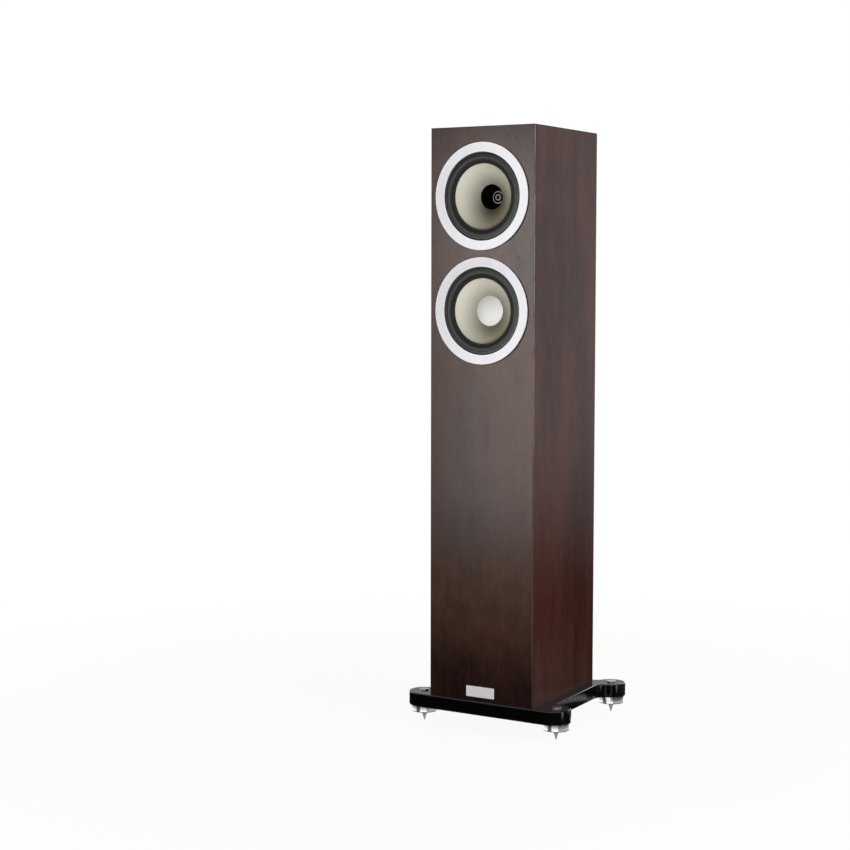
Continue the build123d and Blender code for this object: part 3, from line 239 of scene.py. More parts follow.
@dataclass(frozen=True)
class Effect:
    """A shared shader group with named inputs and outputs, built once and placed in many materials."""

    name: str
    inputs: tuple[tuple[str, str, float], ...]
    outputs: tuple[str, ...]
    fill: Callable[[Graph, bpy.types.Node], dict[str, Socket]]

    def tree(self) -> bpy.types.NodeTree:
        """The group's node tree, made at its first use.

        Returns:
            The group's tree.
        """
        found = bpy.data.node_groups.get(self.name)
        if found:
            return found
        tree = bpy.data.node_groups.new(self.name, "ShaderNodeTree")
        for name, kind, default in self.inputs:
            socket = tree.interface.new_socket(name, in_out="INPUT", socket_type=f"NodeSocket{kind}")
            if kind == "Float":
                socket.default_value = default
        for name in self.outputs:
            tree.interface.new_socket(name, in_out="OUTPUT", socket_type="NodeSocketFloat")
        graph = Graph(tree)
        results = self.fill(graph, graph.add("NodeGroupInput"))
        graph.add("NodeGroupOutput", results)
        return tree

    def place(self, graph: Graph, inputs: dict[str, Feed]) -> bpy.types.Node:
        """Put the group into a material.

        Args:
            graph: The material's own tree.
            inputs: The group's inputs by name.

        Returns:
            The group node, whose outputs carry the effect.
        """
        node = graph.add("Group", node_tree=self.tree())
        for key, value in inputs.items():
            graph.feed(node.inputs[key], value)
        return node


# Each layer of the grain: how often it changes along X, Y and Z in a metre, its detail and its roughness.
GRAIN_LAYERS = {
    "Figure": ((11, 11, 2.2), 3.0, 0.55),
    "Mottle": ((45, 45, 22), 3.0, 0.6),
    "Streak": ((330, 330, 9), 4.0, 0.65),
    "Fine": ((900, 900, 45), 2.0, 0.6),
}
PORES = (1500, 1500, 75)
FLECKS = (520, 520, 95)
FLECKS_PLACE = (3, 1, 2)


def fill_grain(graph: Graph, given: bpy.types.Node) -> dict[str, Socket]:
    """Wood grain: slow figure, fine streaks, short pores and pale flecks, all drawn out along local Z.

    Args:
        graph: The group's tree.
        given: The group's input node.

    Returns:
        The group's outputs by name.
    """
    where = given.outputs["Vector"]
    layers = {
        name: graph.noise(graph.stretch(where, often), 1.0, detail, rough)
        for name, (often, detail, rough) in GRAIN_LAYERS.items()
    }
    pores = graph.noise(graph.stretch(where, PORES), 1.0, 1.0)
    flecks = graph.noise(graph.stretch(where, FLECKS, FLECKS_PLACE), 1.0, 2.0)
    return {**layers, "Pores": graph.window(pores, 0.60, 0.72), "Flecks": graph.window(flecks, 0.57, 0.75)}


def fill_turning(graph: Graph, given: bpy.types.Node) -> dict[str, Socket]:
    """Marks of a lathe: noise that changes with the distance from the turning axis, which is local Y.

    Args:
        graph: The group's tree.
        given: The group's input node.

    Returns:
        The group's outputs by name.
    """
    where = given.outputs["Vector"]
    radius = graph.number("LENGTH", graph.vector("MULTIPLY", where, (1.0, 0.0, 1.0)))
    along = graph.times(graph.part(where, 1), given.outputs["Depth Share"])
    reach = graph.times(graph.math("ADD", radius, along), given.outputs["Lines"])
    line = graph.add("CombineXYZ", {0: reach}).outputs[0]
    return {"Height": graph.noise(line, 1.0, 3.0, 0.7), "Bands": graph.noise(line, 0.13, 2.0)}


def fill_stipple(graph: Graph, given: bpy.types.Node) -> dict[str, Socket]:
    """The even spark-eroded texture of a moulding, with a slow change of gloss.

    Args:
        graph: The group's tree.
        given: The group's input node.

    Returns:
        The group's outputs by name.
    """
    where = given.outputs["Vector"]
    cells = graph.add("TexVoronoi", {"Vector": where, "Scale": given.outputs["Cells"]}, feature="SMOOTH_F1")
    grain = graph.noise(where, 2600.0, 2.0)
    height = graph.times(grain, 0.5, cells.outputs[0])
    return {"Height": height, "Gloss": graph.noise(where, 30.0, 3.0)}


def fill_handling(graph: Graph, given: bpy.types.Node) -> dict[str, Socket]:
    """Dust that settles on what faces up, and slow smudges on everything.

    Args:
        graph: The group's tree.
        given: The group's input node.

    Returns:
        The group's outputs by name.
    """
    where = given.outputs["Vector"]
    level = graph.window(graph.part(graph.add("NewGeometry").outputs["Normal"], 2), 0.3, 0.95)
    specks = graph.window(graph.noise(where, 900.0, 2.0), 0.52, 0.75)
    haze = graph.window(graph.noise(where, 24.0, 3.0), 0.35, 0.75)
    dust = graph.times(level, graph.times(specks, 0.7, graph.times(haze, 0.3)))
    smudge = graph.window(graph.noise(graph.stretch(where, (60, 60, 22)), 1.0, 4.0, 0.6), 0.45, 0.75)
    return {"Dust": dust, "Smudge": smudge}


def fill_edge_rubbed_highlight(graph: Graph, given: bpy.types.Node) -> dict[str, Socket]:
    """Rounded edges where they turn away from the face: a pale mark, partly stain rubbed thin and partly
    painted highlight, more in some places.

    Args:
        graph: The group's tree.
        given: The group's input node.

    Returns:
        The group's outputs by name.
    """
    turned = graph.number("DOT_PRODUCT", graph.add("NewGeometry").outputs["Normal"], given.outputs["Outward"])
    edge = graph.window(turned, 0.80, 0.985, 1.0, 0.0)
    side = graph.window(turned, 0.30, 0.70)
    patch = graph.noise(graph.stretch(given.outputs["Vector"], (90, 90, 30)), 1.0, 4.0, 0.6)
    rubbed = graph.window(patch, 0.25, 0.65, 0.35, 1.0)
    return {"RubbedHighlight": graph.times(graph.times(edge, side), rubbed)}


def fill_fibre(graph: Graph, given: bpy.types.Node) -> dict[str, Socket]:
    """Matted pulp: crossed short fibres over a soft cloudiness.

    Args:
        graph: The group's tree.
        given: The group's input node.

    Returns:
        The group's outputs by name.
    """
    where = given.outputs["Vector"]
    bent = graph.add(
        "TexNoise", {"Vector": where, "Scale": 260.0, "Detail": 2.0, "Distortion": 1.6}
    ).outputs[0]
    cloud = graph.noise(where, 42.0, 3.0)
    strands = graph.math("ABSOLUTE", graph.math("SUBTRACT", graph.noise(where, 1300.0, 3.0, 0.7), 0.5))
    height = graph.times(strands, 1.4, graph.times(bent, 0.6))
    return {"Height": height, "Cloud": cloud, "Strands": graph.window(strands, 0.0, 0.16)}


def fill_weave(graph: Graph, given: bpy.types.Node) -> dict[str, Socket]:
    """Plain weave on the piece's own map: warp over weft in turn.

    Args:
        graph: The group's tree.
        given: The group's input node.

    Returns:
        The group's outputs by name.
    """
    waves = []
    for axis in (0, 1):
        phase = graph.times(graph.part(given.outputs["Vector"], axis), given.outputs["Threads"])
        waves.append(graph.math("SINE", graph.times(phase, math.tau)))
    return {"Height": graph.times(graph.times(*waves), 0.5, 0.5)}


VECTOR_IN = ("Vector", "Vector", 0.0)
GRAIN = Effect(
    "wood_grain", (VECTOR_IN,), ("Figure", "Mottle", "Streak", "Fine", "Pores", "Flecks"), fill_grain
)
TURNING = Effect(
    "turning_marks",
    (VECTOR_IN, ("Lines", "Float", 4000.0), ("Depth Share", "Float", 1.0)),
    ("Height", "Bands"),
    fill_turning,
)
STIPPLE = Effect(
    "moulded_stipple", (VECTOR_IN, ("Cells", "Float", 1800.0)), ("Height", "Gloss"), fill_stipple
)
HANDLING = Effect("dust_and_smudges", (VECTOR_IN,), ("Dust", "Smudge"), fill_handling)
# Rounded edges: partly rubbed wear, partly painted highlight.
EDGE_RUBBED_HIGHLIGHT = Effect("edge_rubbed_highlight", (VECTOR_IN, ("Outward", "Vector", 0.0)), ("RubbedHighlight",), fill_edge_rubbed_highlight)
FIBRE = Effect("pulp_fibre", (VECTOR_IN,), ("Height", "Cloud", "Strands"), fill_fibre)
WEAVE = Effect("plain_weave", (VECTOR_IN, ("Threads", "Float", 1200.0)), ("Height",), fill_weave)


# ---- finishes ----

class GrainAxis(Enum):
    """Which way a panel's veneer runs."""

    HEIGHT = "height"
    DEPTH = "depth"


class Follows(Enum):
    """What a pattern is fixed to: the shared frame, or the piece's own surface."""

    FRAME = "frame"
    SURFACE = "surface"


@dataclass(frozen=True)
class Finish:
    """A surface finish, made into one material at its first use."""

    name: str

    def material(self) -> bpy.types.Material:
        """The finish's material, made once and kept by name.

        Returns:
            The material.
        """
        found = bpy.data.materials.get(self.name)
        if found:
            return found
        made = bpy.data.materials.new(self.name)
        self.shade(emptied(made))
        return made

    def shade(self, graph: Graph) -> None:
        """Fill the material's tree."""
        raise NotImplementedError


@dataclass(frozen=True)
class Veneer(Finish):
    """Dark stained open-grain veneer under satin lacquer, on a fibreboard core.

    The veneer is a skin under the board's outer face; whatever lies deeper is bare fibreboard. The face is
    a plane: a point is on it where its product with outward equals offset. Spans are heights: the rounded
    edges take a pale mark, partly rubbed wear and partly painted highlight, that grows from
    rubbed_highlight_low to full over rubbed_highlight_rise, and a board with a painted light share has a
    paler band of painted light that comes in over painted_light_rise and goes over painted_light_fall.
    """

    outward: Point = (0.0, -1.0, 0.0)
    offset: float = 0.0
    axis: GrainAxis = GrainAxis.HEIGHT
    # Share of the band of painted light; only the front baffle has one.
    painted_light_share: float = 0.0
    deep: Colour = (0.0137, 0.0029, 0.0022)
    warm: Colour = (0.050, 0.0138, 0.0083)
    pale: Colour = (0.056, 0.023, 0.014)
    # Pale colour of the rounded edges: partly rubbed wear, partly painted highlight.
    rubbed_highlight_colour: Colour = (0.168, 0.153, 0.147)
    # Colour of the band of painted light low on the front baffle.
    painted_light: Colour = (0.145, 0.060, 0.032)
    pore: Colour = (0.006, 0.003, 0.003)
    dust: Colour = (0.4, 0.37, 0.33)
    core: Colour = (0.30, 0.20, 0.115)
    core_speck: Colour = (0.16, 0.10, 0.055)
    skin: float = 0.9 * MM
    roughness: float = 0.21
    core_roughness: float = 0.85
    shine: float = 0.10
    relief: float = 0.04 * MM
    streak_share: float = 0.36
    mottle_share: float = 0.27
    fine_share: float = 0.42
    fleck_share: float = 0.22
    pore_share: float = 0.6
    dust_share: float = 0.10
    # Heights over which the band of painted light comes in and goes.
    painted_light_rise: Span = (0.075, 0.19)
    painted_light_fall: Span = (0.22, 0.35)
    # The edges' painted highlight grows with height over this span, from a low share below it.
    rubbed_highlight_rise: Span = (0.16, 0.80)
    rubbed_highlight_low: float = 0.12

    def shade(self, graph: Graph) -> None:
        """Layer figure, streaks, pores and flecks, and let the core show below the skin.

        Args:
            graph: The material's own tree.
        """
        where = graph.where()
        height = graph.part(where, 2)
        along = where
        if self.axis is GrainAxis.DEPTH:
            along = graph.add("Mapping", {0: where, "Rotation": (math.pi / 2, 0, 0)}).outputs[0]
        grain = GRAIN.place(graph, {"Vector": along}).outputs
        # The rounded edges are partly rubbed wear and partly painted highlight, paler towards the top.
        rubbed_highlight = EDGE_RUBBED_HIGHLIGHT.place(graph, {"Vector": where, "Outward": self.outward}).outputs["RubbedHighlight"]
        rubbed_highlight = graph.times(rubbed_highlight, graph.window(height, *self.rubbed_highlight_rise, self.rubbed_highlight_low, 1.0))
        handling = HANDLING.place(graph, {"Vector": where}).outputs
        colour = graph.mix(graph.window(grain["Figure"], 0.36, 0.64), self.deep, self.warm)
        for share, tone in (
            (graph.window(grain["Streak"], 0.36, 0.70, 0.0, self.streak_share), self.pale),
            (graph.window(grain["Mottle"], 0.42, 0.68, 0.0, self.mottle_share), self.pale),
            (graph.window(grain["Fine"], 0.35, 0.65, self.fine_share, 0.0), self.deep),
            (graph.times(grain["Flecks"], self.fleck_share), self.pale),
            (graph.times(grain["Pores"], self.pore_share), self.pore),
            # Painted light: a paler band low on the front baffle.
            (self.painted_light_band(graph, height, grain["Mottle"]), self.painted_light),
            (rubbed_highlight, self.rubbed_highlight_colour),
            (graph.times(handling["Dust"], self.dust_share), self.dust),
        ):
            colour = graph.mix(share, colour, tone)
        rough = self.roughness
        for mask, share in (
            (grain["Pores"], 0.18), (grain["Fine"], 0.06), (handling["Smudge"], 0.05), (rubbed_highlight, 0.4)
        ):
            rough = graph.times(mask, share, rough)
        depth = graph.math("SUBTRACT", self.offset, graph.number("DOT_PRODUCT", where, self.outward))
        inside = graph.math("GREATER_THAN", depth, self.skin)
        board = graph.mix(graph.noise(where, 900.0, 3.0, 0.7), self.core, self.core_speck)
        relief = graph.times(grain["Pores"], -0.8, graph.times(grain["Fine"], 0.35))
        graph.principled({
            "Base Color": graph.mix(inside, colour, board),
            "Roughness": graph.math("MAXIMUM", rough, graph.times(inside, self.core_roughness)),
            "Specular IOR Level": self.shine,
            "Normal": graph.bump(relief, self.relief, 0.5),
        })

    def painted_light_band(self, graph: Graph, height: Socket, mottle: Socket) -> Feed:
        """The share of the band of painted light at a height, more where the wood is mottled.

        Args:
            graph: The material's own tree.
            height: The point's height.
            mottle: The grain's mottle.

        Returns:
            The share, 0 on a board without the band.
        """
        if not self.painted_light_share:
            return 0.0
        band = graph.window(height, *self.painted_light_rise, 0.0, self.painted_light_share)
        band = graph.times(band, graph.window(height, *self.painted_light_fall, 1.0, 0.0))
        return graph.times(band, graph.window(mottle, 0.30, 0.65, 0.5, 1.0))


@dataclass(frozen=True)
class TurnedMetal(Finish):
    """Bare metal finished on a lathe about an axis through a centre."""

    centre: Point = (0.0, 0.0, 0.0)
    upright: bool = False
    colour: Colour = (0.90, 0.89, 0.92)
    roughness: float = 0.25
    mark_depth: float = 0.0004 * MM
    lines: float = 2400.0

    def shade(self, graph: Graph) -> None:
        """Circles of lathe marks, broader bands of gloss and slow smudges.

        Args:
            graph: The material's own tree.
        """
        where = graph.where()
        centred = graph.vector("SUBTRACT", where, self.centre)
        if self.upright:
            centred = graph.add("Mapping", {0: centred, "Rotation": (math.pi / 2, 0, 0)}).outputs[0]
        marks = TURNING.place(graph, {"Vector": centred, "Lines": self.lines}).outputs
        handling = HANDLING.place(graph, {"Vector": where}).outputs
        rough = graph.times(marks["Bands"], 0.12, self.roughness - 0.06)
        rough = graph.times(handling["Smudge"], 0.05, rough)
        dark = scaled(self.colour, 0.86)
        colour = graph.mix(graph.window(marks["Height"], 0.35, 0.65, 0.0, 0.10), self.colour, dark)
        graph.principled({
            "Base Color": colour,
            "Metallic": 1.0,
            "Roughness": rough,
            "Normal": graph.bump(marks["Height"], self.mark_depth),
        })


@dataclass(frozen=True)
class BrushedMetal(Finish):
    """Metal brushed in straight lines along X, or cast plain where the brushing is slight."""

    colour: Colour = (0.8, 0.8, 0.81)
    roughness: float = 0.3
    mark_depth: float = 0.003 * MM
    metallic: float = 1.0

    def shade(self, graph: Graph) -> None:
        """Long fine scratches over slow smudges.

        Args:
            graph: The material's own tree.
        """
        where = graph.where()
        scratch = graph.noise(graph.stretch(where, (60, 2600, 4200)), 1.0, 3.0, 0.7)
        handling = HANDLING.place(graph, {"Vector": where}).outputs
        dark = scaled(self.colour, 0.8)
        graph.principled({
            "Base Color": graph.mix(graph.window(scratch, 0.35, 0.7, 0.0, 0.6), self.colour, dark),
            "Metallic": self.metallic,
            "Roughness": graph.times(handling["Smudge"], 0.1, self.roughness),
            "Normal": graph.bump(scratch, self.mark_depth),
        })


@dataclass(frozen=True)
class PlugWithPaintedShade(Finish):
    """A plug whose front lips are bare metal, as far back as a depth along Y, and near-black behind them:
    painted shade over its deep rings and webs.
    """

    front: float = 0.0
    reach: float = 1.1 * MM
    lip: Colour = (0.66, 0.56, 0.53)
    # Near-black painted shade behind the lips.
    body: Colour = (0.004, 0.004, 0.004)

    def shade(self, graph: Graph) -> None:
        """Metal ahead of that depth, with fine scratches; near-black painted shade behind it.

        Args:
            graph: The material's own tree.
        """
        where = graph.where()
        depth = graph.math("SUBTRACT", graph.part(where, 1), self.front)
        # Bare metal at the front; behind it, near-black painted shade.
        bare = graph.window(depth, 0.8 * self.reach, self.reach, 1.0, 0.0)
        scratch = graph.noise(graph.stretch(where, (2600, 400, 4200)), 1.0, 3.0, 0.7)
        dull = scaled(self.lip, 0.8)
        metal = graph.mix(graph.window(scratch, 0.35, 0.7, 0.0, 0.6), self.lip, dull)
        graph.principled({
            "Base Color": graph.mix(bare, self.body, metal),
            "Metallic": bare,
            "Specular IOR Level": 0.1,
            "Roughness": graph.times(bare, -0.2, 0.52),
            "Normal": graph.bump(scratch, 0.001 * MM),
        })


@dataclass(frozen=True)
class Lacquer(Finish):
    """Deep gloss lacquer with a breath of orange peel, smudges and settled dust."""

    colour: Colour = (0.002, 0.002, 0.0022)
    roughness: float = 0.045
    shine: float = 0.4
    peel: float = 0.03 * MM

    def shade(self, graph: Graph) -> None:
        """A smooth dark coat that smudges dull and dust greys a little.

        Args:
            graph: The material's own tree.
        """
        where = graph.where()
        handling = HANDLING.place(graph, {"Vector": where}).outputs
        wave = graph.noise(where, 110.0, 1.0)
        colour = graph.mix(graph.times(handling["Dust"], 0.03), self.colour, (0.35, 0.34, 0.33))
        graph.principled({
            "Base Color": colour,
            "Roughness": graph.times(handling["Smudge"], 0.06, self.roughness),
            "Specular IOR Level": self.shine,
            "Normal": graph.bump(wave, self.peel, 0.5),
        })


@dataclass(frozen=True)
class Moulding(Finish):
    """A stippled plastic moulding or a powder-coated casting."""

    colour: Colour = (0.012, 0.012, 0.012)
    roughness: float = 0.5
    cells: float = 1800.0
    relief: float = 0.03 * MM
    shine: float = 0.4
    dust: float = 0.06

    def shade(self, graph: Graph) -> None:
        """Stipple in the normal, a slow change of gloss and dust on what faces up.

        Args:
            graph: The material's own tree.
        """
        where = graph.where()
        stipple = STIPPLE.place(graph, {"Vector": where, "Cells": self.cells}).outputs
        handling = HANDLING.place(graph, {"Vector": where}).outputs
        lifted = scaled(self.colour, 1.35)
        colour = graph.mix(stipple["Gloss"], self.colour, lifted)
        colour = graph.mix(graph.times(handling["Dust"], self.dust), colour, (0.3, 0.29, 0.28))
        rough = graph.times(stipple["Gloss"], 0.14, self.roughness - 0.07)
        graph.principled({
            "Base Color": colour,
            "Roughness": rough,
            "Specular IOR Level": self.shine,
            "Normal": graph.bump(stipple["Height"], self.relief, 0.6),
        })


@dataclass(frozen=True)
class Rubber(Finish):
    """Matt black rubber with a bloom that follows its surface. On a roll the bloom comes in only towards the
    crest, with painted shade blacker on the inner slope, and painted bounce light makes the outer land paler.
    """

    colour: Colour = (0.012, 0.012, 0.0125)
    bloom: Colour = (0.034, 0.034, 0.033)
    roughness: float = 0.48
    follows: Follows = Follows.SURFACE
    centre: Point = (0.0, 0.0, 0.0)
    shade_full_radius: float = 0.0
    crest: float = 0.0
    # Painted bounce light: the paler colour of a roll's outer land, from painted_bounce_near to
    # painted_bounce_far beyond the crest.
    land: Colour = (0.090, 0.088, 0.074)
    painted_bounce_near: float = 2.5 * MM
    painted_bounce_far: float = 5.5 * MM

    def shade(self, graph: Graph) -> None:
        """A dark body with a pale, uneven bloom and a very fine grain; on a roll, painted shade blackens the
        inner slope and painted bounce light lightens the outer land.

        Args:
            graph: The material's own tree.
        """
        place = graph.along_surface() if self.follows is Follows.SURFACE else graph.where()
        bloom = graph.window(graph.noise(place, 70.0, 4.0, 0.6), 0.35, 0.75, 0.0, 0.55)
        grain = graph.noise(place, 3800.0, 2.0)
        colour = graph.mix(bloom, self.colour, self.bloom)
        rough = graph.times(bloom, 0.15, self.roughness)
        # Painted shade from inside shade_full_radius out to the crest, then painted bounce light on the outer
        # land.
        if self.crest:
            radius = graph.radius(graph.where(), self.centre)
            rise = graph.window(radius, self.shade_full_radius, self.crest)
            colour = graph.mix(rise, self.colour, colour)
            outer = graph.window(radius, self.crest + self.painted_bounce_near, self.crest + self.painted_bounce_far)
            colour = graph.mix(outer, colour, self.land)
            rough = graph.times(rise, -0.15, graph.math("ADD", rough, 0.22))
        graph.principled({
            "Base Color": colour,
            "Roughness": rough,
            "Specular IOR Level": 0.12,
            "Normal": graph.bump(grain, 0.02 * MM, 0.5),
        })


@dataclass(frozen=True)
class Pulp(Finish):
    """Treated paper pulp, with fibres that show in a raking light."""

    colour: Colour = (0.45, 0.424, 0.300)
    shade_colour: Colour = (0.372, 0.342, 0.220)
    roughness: float = 0.62
    relief: float = 0.05 * MM
    centre: Point = (0.0, 0.0, 0.0)
    neck: float = 0.0
    lip: float = 1.0 * MM
    # How dark the painted shade gets at the neck.
    painted_neck_shade: float = 1.0

    def shade(self, graph: Graph) -> None:
        """Cloudy body colour, pale strands and a matted surface, darkened towards the neck's radius by
        painted shade.

        Args:
            graph: The material's own tree.
        """
        where = graph.where()
        fibre = FIBRE.place(graph, {"Vector": where}).outputs
        body = graph.mix(graph.window(fibre["Cloud"], 0.35, 0.7), self.colour, self.shade_colour)
        pale = scaled(self.colour, 1.18)
        colour = graph.mix(graph.times(fibre["Strands"], 0.3), pale, body)
        # Painted shade: the cone grows darker from its lip in to its neck.
        radius = graph.radius(where, self.centre)
        tone = graph.window(radius, self.neck, self.lip, self.painted_neck_shade, 1.0)
        neck_shaded_colour = graph.add("VectorMath", {0: colour, "Scale": tone}, operation="SCALE").outputs[0]
        graph.principled({
            "Base Color": neck_shaded_colour,
            "Roughness": graph.times(fibre["Strands"], 0.08, self.roughness),
            "Specular IOR Level": 0.35,
            "Normal": graph.bump(fibre["Height"], self.relief, 0.5),
        })


@dataclass(frozen=True)
class Woven(Finish):
    """Cloth or a woven sleeve whose threads follow the piece's own map."""

    colour: Colour = (0.36, 0.24, 0.10)
    thread: Colour = (0.52, 0.37, 0.17)
    threads: float = 1100.0
    follows: Follows = Follows.SURFACE

    def shade(self, graph: Graph) -> None:
        """Raised threads paler than the gaps between them.

        Args:
            graph: The material's own tree.
        """
        place = graph.along_surface() if self.follows is Follows.SURFACE else graph.where()
        weave = WEAVE.place(graph, {"Vector": place, "Threads": self.threads}).outputs
        uneven = graph.noise(place, 180.0, 3.0)
        colour = graph.mix(weave["Height"], self.colour, self.thread)
        graph.principled({
            "Base Color": graph.mix(graph.times(uneven, 0.35), colour, self.colour),
            "Roughness": graph.times(uneven, 0.15, 0.7),
            "Normal": graph.bump(weave["Height"], 0.12 * MM, 0.7),
        })


@dataclass(frozen=True)
class OpenFoam(Finish):
    """Reticulated grey foam."""

    colour: Colour = (0.075, 0.073, 0.072)
    pore: Colour = (0.020, 0.020, 0.020)

    def shade(self, graph: Graph) -> None:
        """Dark cells in a paler web.

        Args:
            graph: The material's own tree.
        """
        where = graph.where()
        cells = graph.add(
            "TexVoronoi", {"Vector": where, "Scale": 700.0}, feature="DISTANCE_TO_EDGE"
        ).outputs[0]
        web = graph.window(cells, 0.02, 0.16, 1.0, 0.0)
        graph.principled({
            "Base Color": graph.mix(web, self.pore, self.colour),
            "Roughness": graph.times(web, -0.1, 0.95),
            "Normal": graph.bump(web, 0.4 * MM, 0.8),
        })


@dataclass(frozen=True)
class Board(Finish):
    """Bare fibreboard, or any even body of fine particles."""

    colour: Colour = (0.30, 0.20, 0.115)
    speck: Colour = (0.17, 0.105, 0.055)
    roughness: float = 0.85
    scale: float = 900.0

    def shade(self, graph: Graph) -> None:
        """Specks of two tones under a slow cloudiness.

        Args:
            graph: The material's own tree.
        """
        where = graph.where()
        specks = graph.noise(where, self.scale, 4.0, 0.7)
        cloud = graph.noise(where, 25.0, 3.0)
        share = graph.times(specks, 0.7, graph.times(cloud, 0.3))
        graph.principled({
            "Base Color": graph.mix(share, self.colour, self.speck),
            "Roughness": graph.times(cloud, 0.1, self.roughness - 0.05),
            "Normal": graph.bump(specks, 0.05 * MM, 0.5),
        })


@dataclass(frozen=True)
class Winding(Finish):
    """Lacquered copper wire in turns along Y, and the bare former ahead of the first turn."""

    colour: Colour = (0.62, 0.26, 0.11)
    former: Colour = (0.62, 0.26, 0.11)
    turns: float = 1000.0
    start: float = -10.0

    def shade(self, graph: Graph) -> None:
        """Round wires side by side, each a ridge, with painted shade in the gap between.

        Args:
            graph: The material's own tree.
        """
        where = graph.where()
        depth = graph.part(where, 1)
        phase = graph.times(depth, self.turns * math.pi)
        ridge = graph.math("ABSOLUTE", graph.math("SINE", phase))
        tone = graph.noise(where, 300.0, 3.0)
        # Painted shade darkens the grooves between the turns.
        dark = scaled(self.colour, 0.35)
        wound = graph.math("GREATER_THAN", depth, self.start)
        copper = graph.mix(graph.window(ridge, 0.1, 0.7), dark, self.colour)
        graph.principled({
            "Base Color": graph.mix(wound, self.former, copper),
            "Metallic": wound,
            "Specular IOR Level": 0.1,
            "Roughness": graph.times(tone, 0.15, 0.22),
            "Normal": graph.bump(ridge, 0.2 * MM, 0.8),
        })


# ---- surfaces ----

class Turned(Enum):
    """The axis that a piece is turned about, and so where its outline's second number points."""

    ABOUT_DEPTH = "depth"
    ABOUT_HEIGHT = "height"


def object_of(
    name: str, vertices: np.ndarray, faces: Sequence[Sequence[int]], finish: Finish
) -> bpy.types.Object:
    """A dressed, smooth-shaded object whose faces point outwards.

    Args:
        name: The piece's name.
        vertices: Points in the shared frame, one row each.
        faces: Corner numbers of each face, in the same turning sense over a closed surface.
        finish: What the piece is dressed in.

    Returns:
        The linked object, at the origin.
    """
    mesh = bpy.data.meshes.new(name)
    mesh.from_pydata(vertices.tolist(), [], [list(face) for face in faces])
    mesh.update()
    if signed_volume(mesh) < 0:
        mesh.flip_normals()
    mesh.shade_smooth()
    mesh.set_sharp_from_angle(angle=SMOOTH_ANGLE)
    mesh.materials.append(finish.material())
    piece = bpy.data.objects.new(name, mesh)
    bpy.context.scene.collection.objects.link(piece)
    return piece


def signed_volume(mesh: bpy.types.Mesh) -> float:
    """The volume inside a closed mesh, which is below zero where its faces point inwards.

    It is the sum over the triangles of a sixth of the corners' triple product.

    Args:
        mesh: The closed mesh.

    Returns:
        The volume.
    """
    mesh.calc_loop_triangles()
    corners = np.zeros(len(mesh.loop_triangles) * 3, np.int32)
    mesh.loop_triangles.foreach_get("vertices", corners)
    a, b, c = points_of(mesh)[corners.reshape(-1, 3)].transpose(1, 0, 2)
    return float(np.einsum("ij,ij->i", a, np.cross(b, c)).sum() / 6)


def points_of(mesh: bpy.types.Mesh) -> np.ndarray:
    """A mesh's points, one row each.

    Args:
        mesh: The mesh.

    Returns:
        An array of points by three numbers.
    """
    points = np.zeros(len(mesh.vertices) * 3)
    mesh.vertices.foreach_get("co", points)
    return points.reshape(-1, 3)


def turn_angles(count: int) -> np.ndarray:
    """Even angles over one turn, the last one step short of the first."""
    return np.linspace(0, math.tau, count, endpoint=False)


def grid_faces(rows: int, columns: int, closed_rows: bool, closed_columns: bool) -> np.ndarray:
    """Quads of a grid of rows by columns, joined round where it closes on itself.

    Args:
        rows: How many rows of points there are.
        columns: How many points a row has.
        closed_rows: Whether the last row joins the first.
        closed_columns: Whether the last point of a row joins its first.

    Returns:
        Four corner numbers for each face.
    """
    row = np.arange(rows if closed_rows else rows - 1)[:, None]
    column = np.arange(columns if closed_columns else columns - 1)[None, :]
    next_row, next_column = (row + 1) % rows, (column + 1) % columns
    corners = (
        row * columns + column,
        row * columns + next_column,
        next_row * columns + next_column,
        next_row * columns + column,
    )
    return np.stack(np.broadcast_arrays(*corners), axis=-1).reshape(-1, 4)


